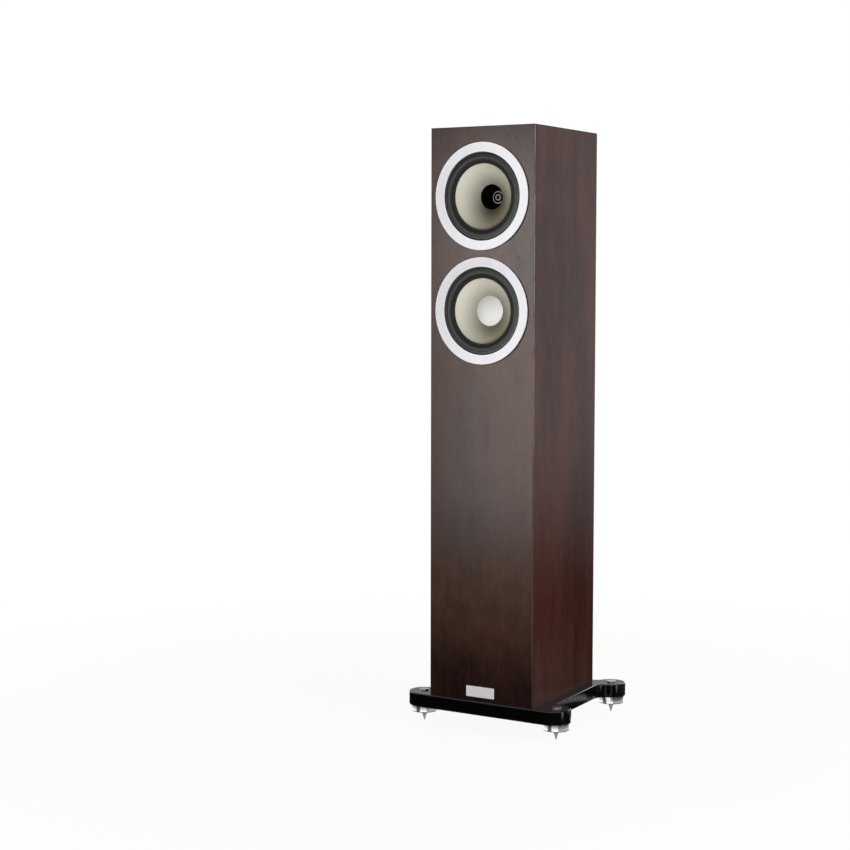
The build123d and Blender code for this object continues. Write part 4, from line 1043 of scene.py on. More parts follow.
@dataclass(frozen=True)
class Lathe:
    """Turns outlines about one axis into closed surfaces."""

    centre: Point
    about: Turned = Turned.ABOUT_DEPTH
    segments: int = 192

    def points(self, radius: np.ndarray, along: np.ndarray, angle: np.ndarray) -> np.ndarray:
        """Points at a radius and an angle round the axis, at a distance along it.

        Args:
            radius: The distance from the axis.
            along: The distance along it.
            angle: The angle round it.

        Returns:
            The points, in the shape of the three given.
        """
        across, up = radius * np.cos(angle), radius * np.sin(angle)
        if self.about is Turned.ABOUT_DEPTH:
            local = np.stack([across, along, up], axis=-1)
        else:
            local = np.stack([across, up, along], axis=-1)
        return local + np.array(self.centre)

    def turn(self, name: str, outline: np.ndarray, finish: Finish) -> bpy.types.Object:
        """A ring-like piece from a closed outline that stays off the axis.

        The surface is outline(v) swept by angle(u), with the piece's own map in metres: the angle times the
        mean radius along it, and the distance along the outline across it.

        Args:
            name: The piece's name.
            outline: Points as (radius, distance along the axis).
            finish: What the piece is dressed in.

        Returns:
            The dressed piece.
        """
        count = len(outline)
        angle = turn_angles(self.segments)[:, None]
        radius = np.broadcast_to(outline[:, 0], (self.segments, count))
        along = np.broadcast_to(outline[:, 1], (self.segments, count))
        vertices = self.points(radius, along, np.broadcast_to(angle, radius.shape)).reshape(-1, 3)
        faces = grid_faces(self.segments, count, True, True)
        piece = object_of(name, vertices, faces, finish)
        self.map_surface(piece, outline)
        return piece

    def map_surface(self, piece: bpy.types.Object, outline: np.ndarray) -> None:
        """Write the piece's own map: a corner's place round the axis and along the outline.

        A face that closes the ring or the outline takes the next whole turn, so the map never runs back.

        Args:
            piece: The turned piece.
            outline: The outline it was turned from.
        """
        count = len(outline)
        step = np.linalg.norm(np.roll(outline, -1, axis=0) - outline, axis=1)
        reach = np.concatenate([[0.0], np.cumsum(step)])
        mean_radius = float(outline[:, 0].mean())
        mesh = piece.data
        corner = np.zeros(len(mesh.loops), np.int32)
        mesh.loops.foreach_get("vertex_index", corner)
        corner = corner.reshape(-1, 4)
        turn, place = corner // count, corner % count
        turn = np.where((turn.max(1) - turn.min(1) > 1)[:, None] & (turn == 0), self.segments, turn)
        place = np.where((place.max(1) - place.min(1) > 1)[:, None] & (place == 0), count, place)
        around = turn / self.segments * math.tau * mean_radius
        layer = mesh.uv_layers.new(name=SURFACE_MAP)
        layer.data.foreach_set("uv", np.stack([around, reach[place]], axis=-1).astype(np.float32).ravel())

    def close(self, name: str, radius: np.ndarray, along: np.ndarray, finish: Finish) -> bpy.types.Object:
        """A solid piece from rows of rings, closed by a pole at each end.

        Args:
            name: The piece's name.
            radius: One row for each ring, one column for each angle.
            along: The same shape, the distance along the axis.
            finish: What the piece is dressed in.

        Returns:
            The dressed piece, whose first and last ring are joined to a point on the axis each.
        """
        rows, columns = radius.shape
        angle = np.broadcast_to(turn_angles(columns), radius.shape)
        rings = self.points(radius, along, angle).reshape(-1, 3)
        zero = np.zeros(1)
        poles = [self.points(zero, along[k, :1], zero) for k in (0, -1)]
        faces = grid_faces(rows, columns, False, True).tolist()
        start, end = rows * columns, rows * columns + 1
        last = (rows - 1) * columns
        for k in range(columns):
            after = (k + 1) % columns
            faces.append((start, after, k))
            faces.append((end, last + k, last + after))
        return object_of(name, np.concatenate([rings, *poles]), faces, finish)


def middle(node: str) -> Point:
    """The middle of a node's box."""
    low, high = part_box(node)
    return tuple((low + high) / 2)


def size(node: str) -> Vector:
    """The size of a node's box."""
    low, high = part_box(node)
    return high - low


def dress(node: str, finish: Finish) -> None:
    """Give a node of the frame its finish.

    Args:
        node: The node's name.
        finish: What it is dressed in.
    """
    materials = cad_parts[node].data.materials
    materials.clear()
    materials.append(finish.material())
    LOG.info("%s is dressed in %s", node, finish.name)


def seat(piece: bpy.types.Object, body: str, slot: str, *nodes: str) -> None:
    """Let a piece ride on a body and stand for nodes of the frame, which are hidden."""
    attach(piece, body)
    settle(piece, slot, *nodes)


def settle(piece: bpy.types.Object, slot: str, *nodes: str) -> None:
    """Hide the nodes of the frame that a piece stands for, and report the piece's faces.

    Args:
        piece: The piece.
        slot: Not used.
        nodes: The nodes of the frame that it stands for.
    """
    if nodes:
        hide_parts(*nodes)
    LOG.info("%s has %d faces", piece.name, len(piece.data.polygons))


# ---- sub-assemblies ----

@dataclass
class Cabinet:
    """The tapering veneered box, its braces, foam and badge."""

    foam_pitch: float = 24 * MM
    foam_wave: float = 4.0 * MM
    foam_cells: int = 10
    painted_light_share: float = 0.55

    def build(self) -> None:
        """Dress the boards and build the foam."""
        self.dress_boards()
        dress("braces", Board("brace_fibreboard"))
        dress("badge_plate", BrushedMetal("badge_satin", (0.97, 0.96, 0.94), 0.42, metallic=0.2))
        self.build_pads()

    def dress_boards(self) -> None:
        """Each board gets its veneer on its own outer plane, found from the frame."""
        low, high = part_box("front_baffle")
        _, back_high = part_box("back_panel")
        depth = back_high.y - low.y
        lean = math.atan((high.x - back_high.x) / depth)
        flank = (math.cos(lean), math.sin(lean))
        reach = high.x * flank[0] + low.y * flank[1]
        along_height = GrainAxis.HEIGHT
        boards = {
            "front_baffle": ((0, -1, 0), -low.y, along_height),
            "back_panel": ((0, 1, 0), back_high.y, along_height),
            "right_side": ((flank[0], flank[1], 0), reach, along_height),
            "left_side": ((-flank[0], flank[1], 0), reach, along_height),
            "top_panel": ((0, 0, 1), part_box("top_panel")[1].z, GrainAxis.DEPTH),
            "bottom_panel": ((0, 0, -1), -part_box("bottom_panel")[0].z, GrainAxis.DEPTH),
        }
        for node, (outward, offset, axis) in boards.items():
            # Only the front baffle gets the band of painted light.
            share = self.painted_light_share if node == "front_baffle" else 0.0
            dress(node, Veneer(f"{node}_veneer", outward, offset, axis, painted_light_share=share))

    def build_pads(self) -> None:
        """The foam pads on the side walls, each a slab whose free face is a field of soft peaks."""
        points = points_of(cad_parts["damping_pads"].data)
        heights = np.unique(np.round(points[:, 2], 5))
        finish = OpenFoam("damping_foam")
        pads = []
        for sign, side in zip((-1, 1), SIDES):
            flank = points[points[:, 0] * sign > 0]
            for bay, (bottom, top) in enumerate(zip(heights[0::2], heights[1::2])):
                corners = flank[(flank[:, 2] > bottom - MM) & (flank[:, 2] < top + MM)]
                pads.append(self.build_pad(f"foam_pad_{side}_{bay}", corners, sign, finish))
        for k, pad in enumerate(pads):
            seat(pad, CABINET, "felt", *(["damping_pads"] if k == 0 else []))

    def build_pad(self, name: str, corners: np.ndarray, sign: int, finish: Finish) -> bpy.types.Object:
        """One pad.

        Args:
            name: The piece's name.
            corners: The corners of the pad's plain solid in the frame.
            sign: 1 for the right-hand wall and -1 for the left-hand one.
            finish: The foam.

        Returns:
            A closed slab. Its wall face is flat; its free face lies at the slab's thickness less a wave,
            which is the product of a cosine along the depth and one along the height.
        """
        low, high = corners.min(0), corners.max(0)
        outer = corners[np.abs(corners[:, 1] - low[1]) < MM][:, 0] * sign
        rear = corners[np.abs(corners[:, 1] - high[1]) < MM][:, 0] * sign
        thickness = outer.max() - outer.min()
        rows = int((high[2] - low[2]) / self.foam_pitch) * self.foam_cells
        columns = int((high[1] - low[1]) / self.foam_pitch) * self.foam_cells
        share_y, share_z = np.meshgrid(np.linspace(0, 1, columns), np.linspace(0, 1, rows))
        y = low[1] + share_y * (high[1] - low[1])
        z = low[2] + share_z * (high[2] - low[2])
        wall = outer.max() + share_y * (rear.max() - outer.max())
        phase_y = math.tau * (y - low[1]) / self.foam_pitch
        phase_z = math.tau * (z - low[2]) / self.foam_pitch
        wave = (1 - np.cos(phase_y) * np.cos(phase_z)) / 2
        free = wall - thickness + self.foam_wave * wave
        sheet = [np.stack([sign * x, y, z], axis=-1).reshape(-1, 3) for x in (wall, free)]
        count = rows * columns
        faces = grid_faces(rows, columns, False, False)
        rim = np.concatenate([
            np.arange(columns),
            np.arange(1, rows) * columns + columns - 1,
            np.arange(columns - 2, -1, -1) + (rows - 1) * columns,
            np.arange(rows - 2, 0, -1) * columns,
        ])
        after = np.roll(rim, -1)
        skirt = np.stack([rim, rim + count, after + count, after], axis=-1)
        shell = np.concatenate([faces, faces[:, ::-1] + count, skirt])
        return object_of(name, np.concatenate(sheet), shell, finish)


@dataclass
class DriveUnit:
    """One drive unit: bright trim, rubber surround, pulp cone, cloth spider and the motor behind."""

    level: str
    lip_radius: float = 69.6 * MM
    land_inner: float = 51.0 * MM
    roll_outer: float = 67.4 * MM
    roll_inner: float = 54.0 * MM
    roll_wall: float = 1.0 * MM
    bead: float = 0.5 * MM
    bead_rise: float = 0.35 * MM
    # Where the surround's painted shade is full and where it ends.
    surround_shade_full_radius: float = 56.5 * MM
    surround_shade_end_radius: float = 60.0 * MM
    # Where the cone's painted shade towards its neck starts and ends, and how dark it gets at the neck.
    cone_neck: float = 18 * MM
    cone_lip: float = 48 * MM
    painted_neck_shade: float = 0.50
    coil_turns: float = 3200.0
    spider_waves: int = 5
    spider_wave: float = 1.3 * MM
    spider_wall: float = 0.5 * MM

    @property
    def cone_body(self) -> str:
        """The body that the cone rides on."""
        return f"{self.level}_cone_assembly"

    @property
    def centre(self) -> Point:
        """The point on the unit's axis at the baffle's face."""
        x, _, z = middle(f"{self.level}_trim_ring")
        return (x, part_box("front_baffle")[0].y, z)

    def build(self) -> None:
        """Dress the rigid pieces and build the soft ones."""
        self.dress_nodes()
        self.build_surround()
        self.build_spider()

    def dress_nodes(self) -> None:
        """The finishes of the unit's own nodes."""
        level = self.level
        bright = TurnedMetal(f"{level}_trim_turned", centre=self.centre, colour=(0.94, 0.935, 0.968))
        dress(f"{level}_trim_ring", bright)
        dress(f"{level}_cone", Pulp(
            f"{level}_cone_pulp", centre=self.centre, neck=self.cone_neck, lip=self.cone_lip,
            painted_neck_shade=self.painted_neck_shade,
        ))
        dress(f"{level}_chassis", Moulding("cast_basket", (0.02, 0.02, 0.021), 0.45))
        # The former is near-black: painted shade deep in the throat.
        dress(f"{level}_voice_coil", Winding(
            f"{level}_coil_winding", turns=self.coil_turns, former=(0.006, 0.0055, 0.005),
            start=self.winding_start(),
        ))
        steel = BrushedMetal("motor_plate", (0.30, 0.30, 0.31), 0.38)
        dress(f"{level}_top_plate", steel)
        dress(f"{level}_yoke", steel)
        ferrite = Board("sintered_ferrite", (0.055, 0.055, 0.06), (0.03, 0.03, 0.033), 0.6, 1500.0)
        dress(f"{level}_magnet", ferrite)

    def winding_start(self) -> float:
        """The Y at which the coil grows from its former to its winding.

        Returns:
            The place along Y.
        """
        offset = points_of(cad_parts[f"{self.level}_voice_coil"].data) - np.array(self.centre)
        radius = np.hypot(offset[:, 0], offset[:, 2])
        return self.centre[1] + float(offset[radius > radius.max() - 0.1 * MM, 1].min())

    def build_surround(self) -> None:
        """The rubber roll between the trim and the cone.

        Its outline is a flat land, a small bead, a half roll, a second bead and the inner land; the roll is
        an arc through the crest of the frame's own solid, and the back face is the same line one wall
        behind.
        """
        low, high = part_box(f"{self.level}_surround")
        crest = low.y - self.centre[1]
        land = high.y - self.centre[1] - self.roll_wall
        outline = self.roll_outline(crest, land)
        lathe = Lathe(self.centre, segments=288)
        rubber = Rubber(
            f"{self.level}_surround_rubber", (0.010, 0.010, 0.0085), (0.043, 0.043, 0.035), 0.42,
            centre=self.centre, shade_full_radius=self.surround_shade_full_radius, crest=self.surround_shade_end_radius,
        )
        roll = lathe.turn(f"{self.level}_surround_roll", outline, rubber)
        self.blend_by_radius(roll)
        settle(roll, "surround_rubber", f"{self.level}_surround")

    def roll_outline(self, crest: float, land: float) -> np.ndarray:
        """The closed outline of the roll's wall, from its outer edge round the front and back again.

        Args:
            crest: The depth of the roll's crest.
            land: The depth of the lands' front face.

        Returns:
            Points as (radius, depth). Over the roll the depth is the arc through both feet and the crest,
            with a bead of half a cosine wave at each foot.
        """
        middle_radius = (self.roll_outer + self.roll_inner) / 2
        half = (self.roll_outer - self.roll_inner) / 2
        rise = land - crest
        sphere = (half**2 + rise**2) / (2 * rise)
        radius = np.concatenate([
            np.linspace(self.lip_radius, self.roll_outer + self.bead, 4),
            middle_radius + half * np.cos(np.linspace(0, math.pi, 49)),
            np.linspace(self.roll_inner - self.bead, self.land_inner, 5),
        ])
        offset = np.clip(np.abs(radius - middle_radius), 0, half)
        arc = np.sqrt(sphere**2 - offset**2) - (sphere - rise)
        foot = np.abs(np.abs(radius - middle_radius) - half) / (2 * self.bead)
        bead = np.where(foot < 1, 0.5 + 0.5 * np.cos(math.pi * foot), 0) * self.bead_rise
        front = land - arc + bead
        slope = np.gradient(front, radius)
        length = np.hypot(1, slope)
        back_radius = radius + self.roll_wall * slope / length
        back = front + self.roll_wall / length
        ahead = np.stack([radius, front], axis=-1)
        behind = np.stack([back_radius, back], axis=-1)
        return np.concatenate([ahead, behind[::-1]])

    def blend_by_radius(self, piece: bpy.types.Object) -> None:
        """Bake a round piece's placement into its points.

        Args:
            piece: The round piece.
        """
        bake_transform(piece)
        offset = points_of(piece.data) - np.array(self.centre)

    def build_spider(self) -> None:
        """The corrugated cloth disc behind the cone: a sine wave along the radius, flat at both edges."""
        low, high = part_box(f"{self.level}_spider")
        outer = (high.x - low.x) / 2
        inner = size(f"{self.level}_voice_coil").x / 2 + self.spider_wall
        radius = np.linspace(outer, inner, 24 * self.spider_waves)
        share = (outer - radius) / (outer - inner)
        window = np.clip(np.minimum(share, 1 - share) * 8, 0, 1)
        middle_depth = low.y - self.centre[1] - self.spider_wave
        front = middle_depth + self.spider_wave * window * np.sin(math.tau * self.spider_waves * share)
        ahead = np.stack([radius, front], axis=-1)
        behind = np.stack([radius, front + self.spider_wall], axis=-1)
        outline = np.concatenate([ahead, behind[::-1]])
        lathe = Lathe(self.centre, segments=144)
        disc = lathe.turn(f"{self.level}_spider_cloth", outline, Woven("spider_weave"))
        self.blend_by_radius(disc)
        settle(disc, "spider_cloth", f"{self.level}_spider")


@dataclass
class Coaxial:
    """What sits in the upper unit's throat."""

    def build(self) -> None:
        """Dress the horn, the phase plug, the dome and the capsule."""
        # The horn is black plastic taken darker and duller still: partly painted shade in the deep throat.
        dress("waveguide", Moulding(
            "horn_moulding", (0.0015, 0.0014, 0.0014), 0.5, relief=0.01 * MM, shine=0.01, dust=0.0
        ))
        dress("phase_plug", PlugWithPaintedShade("plug_lips", front=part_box("phase_plug")[0].y))
        # The dome is near-black metal: painted shade deep behind the phase plug.
        dress("tweeter_dome", BrushedMetal("dome_in_painted_shade", (0.06, 0.055, 0.055), 0.35, 0.001 * MM))
        dress("tweeter_capsule", Moulding("capsule_coat", (0.015, 0.015, 0.016), 0.4))
        dress("lower_dust_cap", Pulp("dust_cap_pulp", (0.86, 0.81, 0.67), (0.72, 0.69, 0.60), 0.55))


@dataclass
class Plinth:
    """The gloss outrigger plinth with its four feet."""

    pitch: float = 1.25 * MM
    thread_depth: float = 0.55 * MM
    tip_radius: float = 0.6 * MM
    cone_height: float = 11.5 * MM
    ring_samples: int = 8
    point_rings: int = 13
    around: int = 56

    def build(self) -> None:
        """Dress the plinth and its rings, and cut the spikes' threads."""
        dress("plinth", Lacquer("piano_black"))
        dress("insert_caps", BrushedMetal("cap_satin", (0.34, 0.34, 0.35), 0.34, 0.001 * MM))
        zinc = BrushedMetal("zinc_plate", (0.55, 0.56, 0.58), 0.3)
        dress("spike_inserts", zinc)
        dress("plinth_bolts", BrushedMetal("bolt_steel", (0.10, 0.10, 0.10), 0.35))
        for foot in FEET:
            x, y, _ = middle(f"{foot}_lock_ring")
            polish = TurnedMetal(
                f"{foot}_ring_polish", (x, y, 0.0), True, (0.86, 0.86, 0.88), 0.13, 0.0012 * MM, 2500.0
            )
            dress(f"{foot}_lock_ring", polish)
            self.build_spike(foot, (x, y, 0.0))

    def build_spike(self, foot: str, centre: Point) -> None:
        """A spike with a turned point and a cut thread above it.

        The radius is a function of the angle u and the height z: up to the thread it is the point's taper;
        above, it is the stud's radius less the thread's depth times a triangle wave of z over the pitch
        less u over a turn.

        Args:
            foot: The foot's name.
            centre: The spike's axis on the floor.
        """
        node = f"{foot}_spike"
        low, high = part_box(node)
        radius = (high.x - low.x) / 2
        top = high.z
        rows = int((top - self.cone_height) / self.pitch) * self.ring_samples
        stud = np.linspace(self.cone_height, top, rows)[:, None]
        angle = turn_angles(self.around)[None, :]
        phase = (stud / self.pitch - angle / math.tau) % 1.0
        groove = 1 - np.abs(2 * phase - 1)
        run_in = np.clip((stud - self.cone_height) / (2 * self.pitch), 0, 1)
        run_out = np.clip((top - stud) / self.pitch, 0, 1)
        thread = radius - self.thread_depth * groove * run_in * run_out
        taper = np.linspace(0, 1, self.point_rings, endpoint=False)[:, None]
        point = self.tip_radius + taper * (radius - self.tip_radius)
        radii = np.concatenate([np.broadcast_to(point, (self.point_rings, self.around)), thread])
        heights = np.concatenate([taper * self.cone_height, stud])
        heights = np.broadcast_to(heights, radii.shape)
        steel = TurnedMetal(f"{foot}_spike_steel", centre, True, (0.74, 0.74, 0.75), 0.24, 0.002 * MM, 2200.0)
        lathe = Lathe(centre, Turned.ABOUT_HEIGHT)
        piece = lathe.close(f"{foot}_threaded_spike", radii, heights, steel)
        seat(piece, node, "spike_chrome", node)


@dataclass
class RearFittings:
    """The port, the terminal dish and its binding posts."""

    ribs: int = 24
    rib_depth: float = 0.55 * MM
    waist: float = 0.5 * MM
    bore: float = 3.05 * MM
    mouth: float = 2.6 * MM
    lip: float = 1.4 * MM
    rounding: float = 1.2 * MM
    around: int = 192

    def build(self) -> None:
        """Dress the mouldings and metal, and build the knurled caps."""
        dress("port_tube", Moulding("port_moulding", (0.012, 0.012, 0.012), 0.42, 1500.0))
        dress("terminal_panel", Moulding("dish_moulding", (0.014, 0.014, 0.014), 0.5, 1300.0, 0.05 * MM))
        gold = BrushedMetal("gold_plate", (0.83, 0.60, 0.24), 0.2, 0.001 * MM)
        dress("post_stems", gold)
        dress("jumper_links", gold)
        caps = {
            "left": (
                Moulding("black_grip", (0.012, 0.012, 0.012), 0.28, 2600.0, 0.01 * MM, 0.5), "cap_black"
            ),
            "right": (
                Moulding("red_grip", (0.36, 0.012, 0.010), 0.25, 2600.0, 0.01 * MM, 0.5), "cap_red"
            ),
        }
        for level in LEVELS:
            for side in SIDES:
                finish, slot = caps[side]
                self.build_cap(f"{level}_{side}_post_cap", finish, slot)

    def build_cap(self, node: str, finish: Finish, slot: str) -> None:
        """A screw cap with grip ribs, a waist and an open end.

        The outside radius is a function of the angle u and the length v: the cap's radius less a waist of a
        cosine over v, less the rib depth times a rounded square wave of u that fades at both ends. The bore
        and the mouth are plain rounds, and all rings join into one closed skin.

        Args:
            node: The node that the cap stands for.
            finish: What it is dressed in.
            slot: The slot it takes.
        """
        low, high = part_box(node)
        radius = (high.z - low.z) / 2
        start, end = low.y, high.y
        length = end - start
        share = np.concatenate([np.linspace(0, 0.16, 8), np.linspace(0.2, 0.8, 10), np.linspace(0.84, 1, 8)])
        angle = turn_angles(self.around)[None, :]
        wave = 0.5 + 0.5 * np.tanh(3 * np.cos(self.ribs * angle))
        fade = np.clip(np.minimum(share, 1 - share) * 10 - 0.6, 0, 1)[:, None]
        ease = np.clip(np.minimum(share, 1 - share) * length / self.rounding, 0, 1)[:, None]
        edge = self.rounding * (1 - np.sqrt(1 - (1 - ease) ** 2))
        waist = self.waist * (0.5 + 0.5 * np.cos(math.tau * (share[:, None] - 0.5))) * fade
        outside = radius - waist - self.rib_depth * wave * fade - edge
        along = np.broadcast_to((start + share * length)[:, None], outside.shape)
        step = end - self.lip
        inner = [(self.mouth, end), (self.mouth, step), (self.bore, step), (self.bore, start)]
        rings = [outside] + [np.full((1, self.around), ring) for ring, _ in inner]
        places = [along] + [np.full((1, self.around), place) for _, place in inner]
        x, _, z = middle(node)
        lathe = Lathe((x, 0.0, z))
        radii, depths = np.concatenate(rings), np.concatenate(places)
        turned = np.broadcast_to(angle, radii.shape)
        vertices = lathe.points(radii, depths, turned).reshape(-1, 3)
        faces = grid_faces(radii.shape[0], self.around, True, True)
        piece = object_of(node.replace("post_cap", "grip_cap"), vertices, faces, finish)
        seat(piece, node, slot, node)


@dataclass
class Screws:
    """Countersunk screws with a cross recess, standing for the frame's plain ones."""

    head_radius: float = 3.8 * MM
    shank_radius: float = 2.0 * MM
    head_height: float = 1.9 * MM
    recess_depth: float = 1.3 * MM
    recess_width: float = 0.75 * MM
    recess_reach: float = 2.1 * MM
    recess_edge: float = 0.3 * MM
    recess_end: float = 0.5 * MM
    rim: float = 0.25 * MM
    rim_drop: float = 0.15 * MM
    eye: float = 0.02 * MM
    point_length: float = 2 * MM
    point_radius: float = 0.3 * MM
    around: int = 48
    rings: int = 14

    def build(self) -> None:
        """One piece for all screws, each found as a loose part of the frame's node."""
        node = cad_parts["panel_screws"]
        places = self.places(node)
        vertices, faces = [], []
        for centre, front, back in places:
            points, quads = self.screw(centre, front, back)
            faces.append(quads + sum(len(block) for block in vertices))
            vertices.append(points)
        finish = Moulding("black_zinc", (0.03, 0.03, 0.032), 0.32, 3000.0, 0.004 * MM, 0.6)
        piece = object_of("cross_head_screws", np.concatenate(vertices), np.concatenate(faces), finish)
        seat(piece, CABINET, "screw_black", "panel_screws")

    def places(self, node: bpy.types.Object) -> list[tuple[np.ndarray, float, float]]:
        """Each screw's axis and the depths of its head and its end.

        Points are gathered by their axis: the head's rim is as wide as the head all round, so a coarse cell
        of the plan holds one screw.

        Args:
            node: The node that holds all the screws.

        Returns:
            The axis, the head and the end of each screw.
        """
        points = points_of(node.data)
        found: list[tuple[np.ndarray, float, float]] = []
        left = np.ones(len(points), bool)
        while left.any():
            seed = points[left][0]
            reach = np.hypot(points[:, 0] - seed[0], points[:, 2] - seed[2])
            group = left & (reach < 2.2 * self.head_radius)
            own = points[group]
            centre = (own.min(0) + own.max(0)) / 2
            wide = own[np.hypot(own[:, 0] - centre[0], own[:, 2] - centre[2]) > 0.95 * self.head_radius]
            head = float(wide[:, 1].mean())
            ends = (float(own[:, 1].min()), float(own[:, 1].max()))
            tip = ends[0] if abs(ends[0] - head) > abs(ends[1] - head) else ends[1]
            found.append((centre, head, tip))
            left &= ~group
        return found

    def screw(self, centre: np.ndarray, head: float, tip: float) -> tuple[np.ndarray, np.ndarray]:
        """The points and quads of one screw.

        The head's face is a function of the radius and the angle: flat, less the recess depth where a
        point is within half a slot's width of either arm of the cross, eased over its edge.

        Args:
            centre: A point on the screw's axis.
            head: The depth of the head's face.
            tip: The depth of the screw's end.

        Returns:
            The points, and the corner numbers of the quads.
        """
        way = 1.0 if tip > head else -1.0
        angle = turn_angles(self.around)[None, :]
        radius = np.linspace(self.eye, self.head_radius - self.rim, self.rings)[:, None]
        across, up = radius * np.cos(angle), radius * np.sin(angle)
        arm = np.minimum(np.abs(across), np.abs(up))
        reach = np.maximum(np.abs(across), np.abs(up))
        slot = np.clip((self.recess_width - arm) / self.recess_edge, 0, 1)
        slot *= np.clip((self.recess_reach - reach) / self.recess_end, 0, 1)
        face = slot * self.recess_depth
        body = [
            (self.head_radius, self.rim_drop),
            (self.shank_radius, self.head_height),
            (self.shank_radius, abs(tip - head) - self.point_length),
            (self.point_radius, abs(tip - head)),
        ]
        radii = np.concatenate([np.broadcast_to(radius, across.shape)]
                               + [np.full((1, self.around), ring) for ring, _ in body])
        depth = np.concatenate([face] + [np.full((1, self.around), place) for _, place in body])
        turned = np.broadcast_to(angle, radii.shape)
        points = Lathe((centre[0], head, centre[2])).points(radii, way * depth, turned).reshape(-1, 3)
        quads = grid_faces(radii.shape[0], self.around, False, True)
        return points, quads if way > 0 else quads[:, ::-1]


@dataclass
class Inside:
    """What only shows when the cabinet is opened."""

    def build(self) -> None:
        """Dress the crossover, the leads and the gaskets."""
        dress("crossover_board", Board("solder_resist", (0.02, 0.13, 0.05), (0.012, 0.09, 0.035), 0.4, 400.0))
        dress("inductors", Winding("inductor_winding"))
        dress("capacitors", Moulding("film_sleeve", (0.62, 0.47, 0.10), 0.3, 900.0, 0.01 * MM))
        dress("resistors", Board("cement_brick", (0.72, 0.70, 0.64), (0.6, 0.58, 0.52), 0.8, 1400.0))
        dress("wiring_harness", Woven(
            "braided_sleeve", (0.02, 0.02, 0.02), (0.07, 0.07, 0.07), 900.0, Follows.FRAME
        ))
        dress("driver_gaskets", Rubber("gasket_rubber", follows=Follows.FRAME))


# ---- the studio ----

class Reach(Enum):
    """What a lamp lights: all, all but its mirror image, only the baffle's sheen, or only the badge."""

    ALL = "all"
    NO_GLOSS = "no_gloss"
    BAFFLE_SHEEN = "baffle_sheen"
    BADGE = "badge"


RECEIVERS = {
    Reach.BAFFLE_SHEEN: ("front_baffle", "upper_surround_roll", "lower_surround_roll"),
    Reach.BADGE: ("badge_plate",),
}


@dataclass(frozen=True)
class Softbox:
    """A rectangular lamp that looks at a point."""

    name: str
    place: Point
    target: Point
    width: float
    height: float
    watts: float
    colour: Colour = (1.0, 1.0, 1.0)
    reach: Reach = Reach.ALL
    spread: float = math.pi

    def build(self) -> None:
        """Hang the lamp, unseen by the camera itself."""
        data = bpy.data.lights.new(self.name, "AREA")
        data.shape = "RECTANGLE"
        data.size, data.size_y = self.width, self.height
        data.energy = self.watts
        data.color = self.colour
        data.spread = self.spread
        lamp = bpy.data.objects.new(self.name, data)
        lamp.location = self.place
        aim = Vector(self.target) - Vector(self.place)
        lamp.rotation_euler = aim.to_track_quat("-Z", "Y").to_euler()
        lamp.visible_camera = False
        lamp.visible_glossy = self.reach is not Reach.NO_GLOSS
        lamp.visible_diffuse = self.reach is not Reach.BAFFLE_SHEEN
        if self.reach in RECEIVERS:
            lamp.light_linking.receiver_collection = self.receivers()
        bpy.context.scene.collection.objects.link(lamp)
        LOG.info("%s gives %.0f W", self.name, self.watts)

    def receivers(self) -> bpy.types.Collection:
        """The pieces that the lamp's light falls on.

        Returns:
            A collection of those pieces.
        """
        lit = bpy.data.collections.new(f"{self.name}_receivers")
        for name in RECEIVERS[self.reach]:
            lit.objects.link(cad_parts.get(name) or bpy.data.objects[name])
        return lit


def stand(name: str, corners: Sequence[Point], material: bpy.types.Material) -> bpy.types.Object:
    """Put up a flat face that belongs to the studio and not to the object.

    Args:
        name: The face's name.
        corners: Its corners in turn.
        material: What it is dressed in.

    Returns:
        The linked object.
    """
    mesh = bpy.data.meshes.new(name)
    mesh.from_pydata(list(corners), [], [tuple(range(len(corners)))])
    mesh.materials.append(material)
    face = bpy.data.objects.new(name, mesh)
    bpy.context.scene.collection.objects.link(face)
    return face


@dataclass(frozen=True)
class Card:
    """A flat card that only reflections see, for the depth of dark and bright surfaces."""

    name: str
    corners: tuple[Point, ...]
    tone: Colour

    def build(self) -> None:
        """Stand the card in the studio."""
        card = stand(self.name, self.corners, self.material())
        card.visible_camera = card.visible_diffuse = card.visible_shadow = False

    def material(self) -> bpy.types.Material:
        """A card's even glow, which is its tone in a mirror.

        Returns:
            The material.
        """
        made = bpy.data.materials.new(f"{self.name}_card")
        graph = emptied(made)
        glow = graph.add("Emission", {"Color": opaque(self.tone)})
        graph.add("OutputMaterial", {"Surface": glow.outputs[0]})
        return made


@dataclass(frozen=True)
class Glow:
    """A soft pale patch of the paper that only mirrors see: a disc, or a sector of a ring, about a place."""

    place: Point
    far: float
    tone: float
    near: float = 0.0
    bearing: float = 0.0
    half_angle: float = math.pi
    blur: float = 0.14
    angle_blur: float = 0.06

    def on(self, graph: Graph, where: Socket) -> Socket:
        """The patch's tone at each point of the paper.

        Args:
            graph: The paper's tree.
            where: The point on the paper.

        Returns:
            The tone, 0 outside the patch.
        """
        away = graph.vector("SUBTRACT", where, (self.place[0], self.place[1], 0.0))
        distance = graph.number("LENGTH", away)
        tone = graph.window(distance, self.far * (1 - self.blur), self.far * (1 + self.blur), self.tone, 0.0)
        if self.near:
            inner = graph.window(distance, self.near * (1 - self.blur), self.near * (1 + self.blur))
            tone = graph.times(tone, inner)
        if self.half_angle < math.pi:
            heading = graph.vector("NORMALIZE", away)
            ahead = (math.cos(self.bearing), math.sin(self.bearing), 0.0)
            cosine = graph.number("DOT_PRODUCT", heading, ahead)
            low = math.cos(self.half_angle + self.angle_blur)
            high = math.cos(max(0.0, self.half_angle - self.angle_blur))
            tone = graph.times(tone, graph.window(cosine, low, high))
        return tone


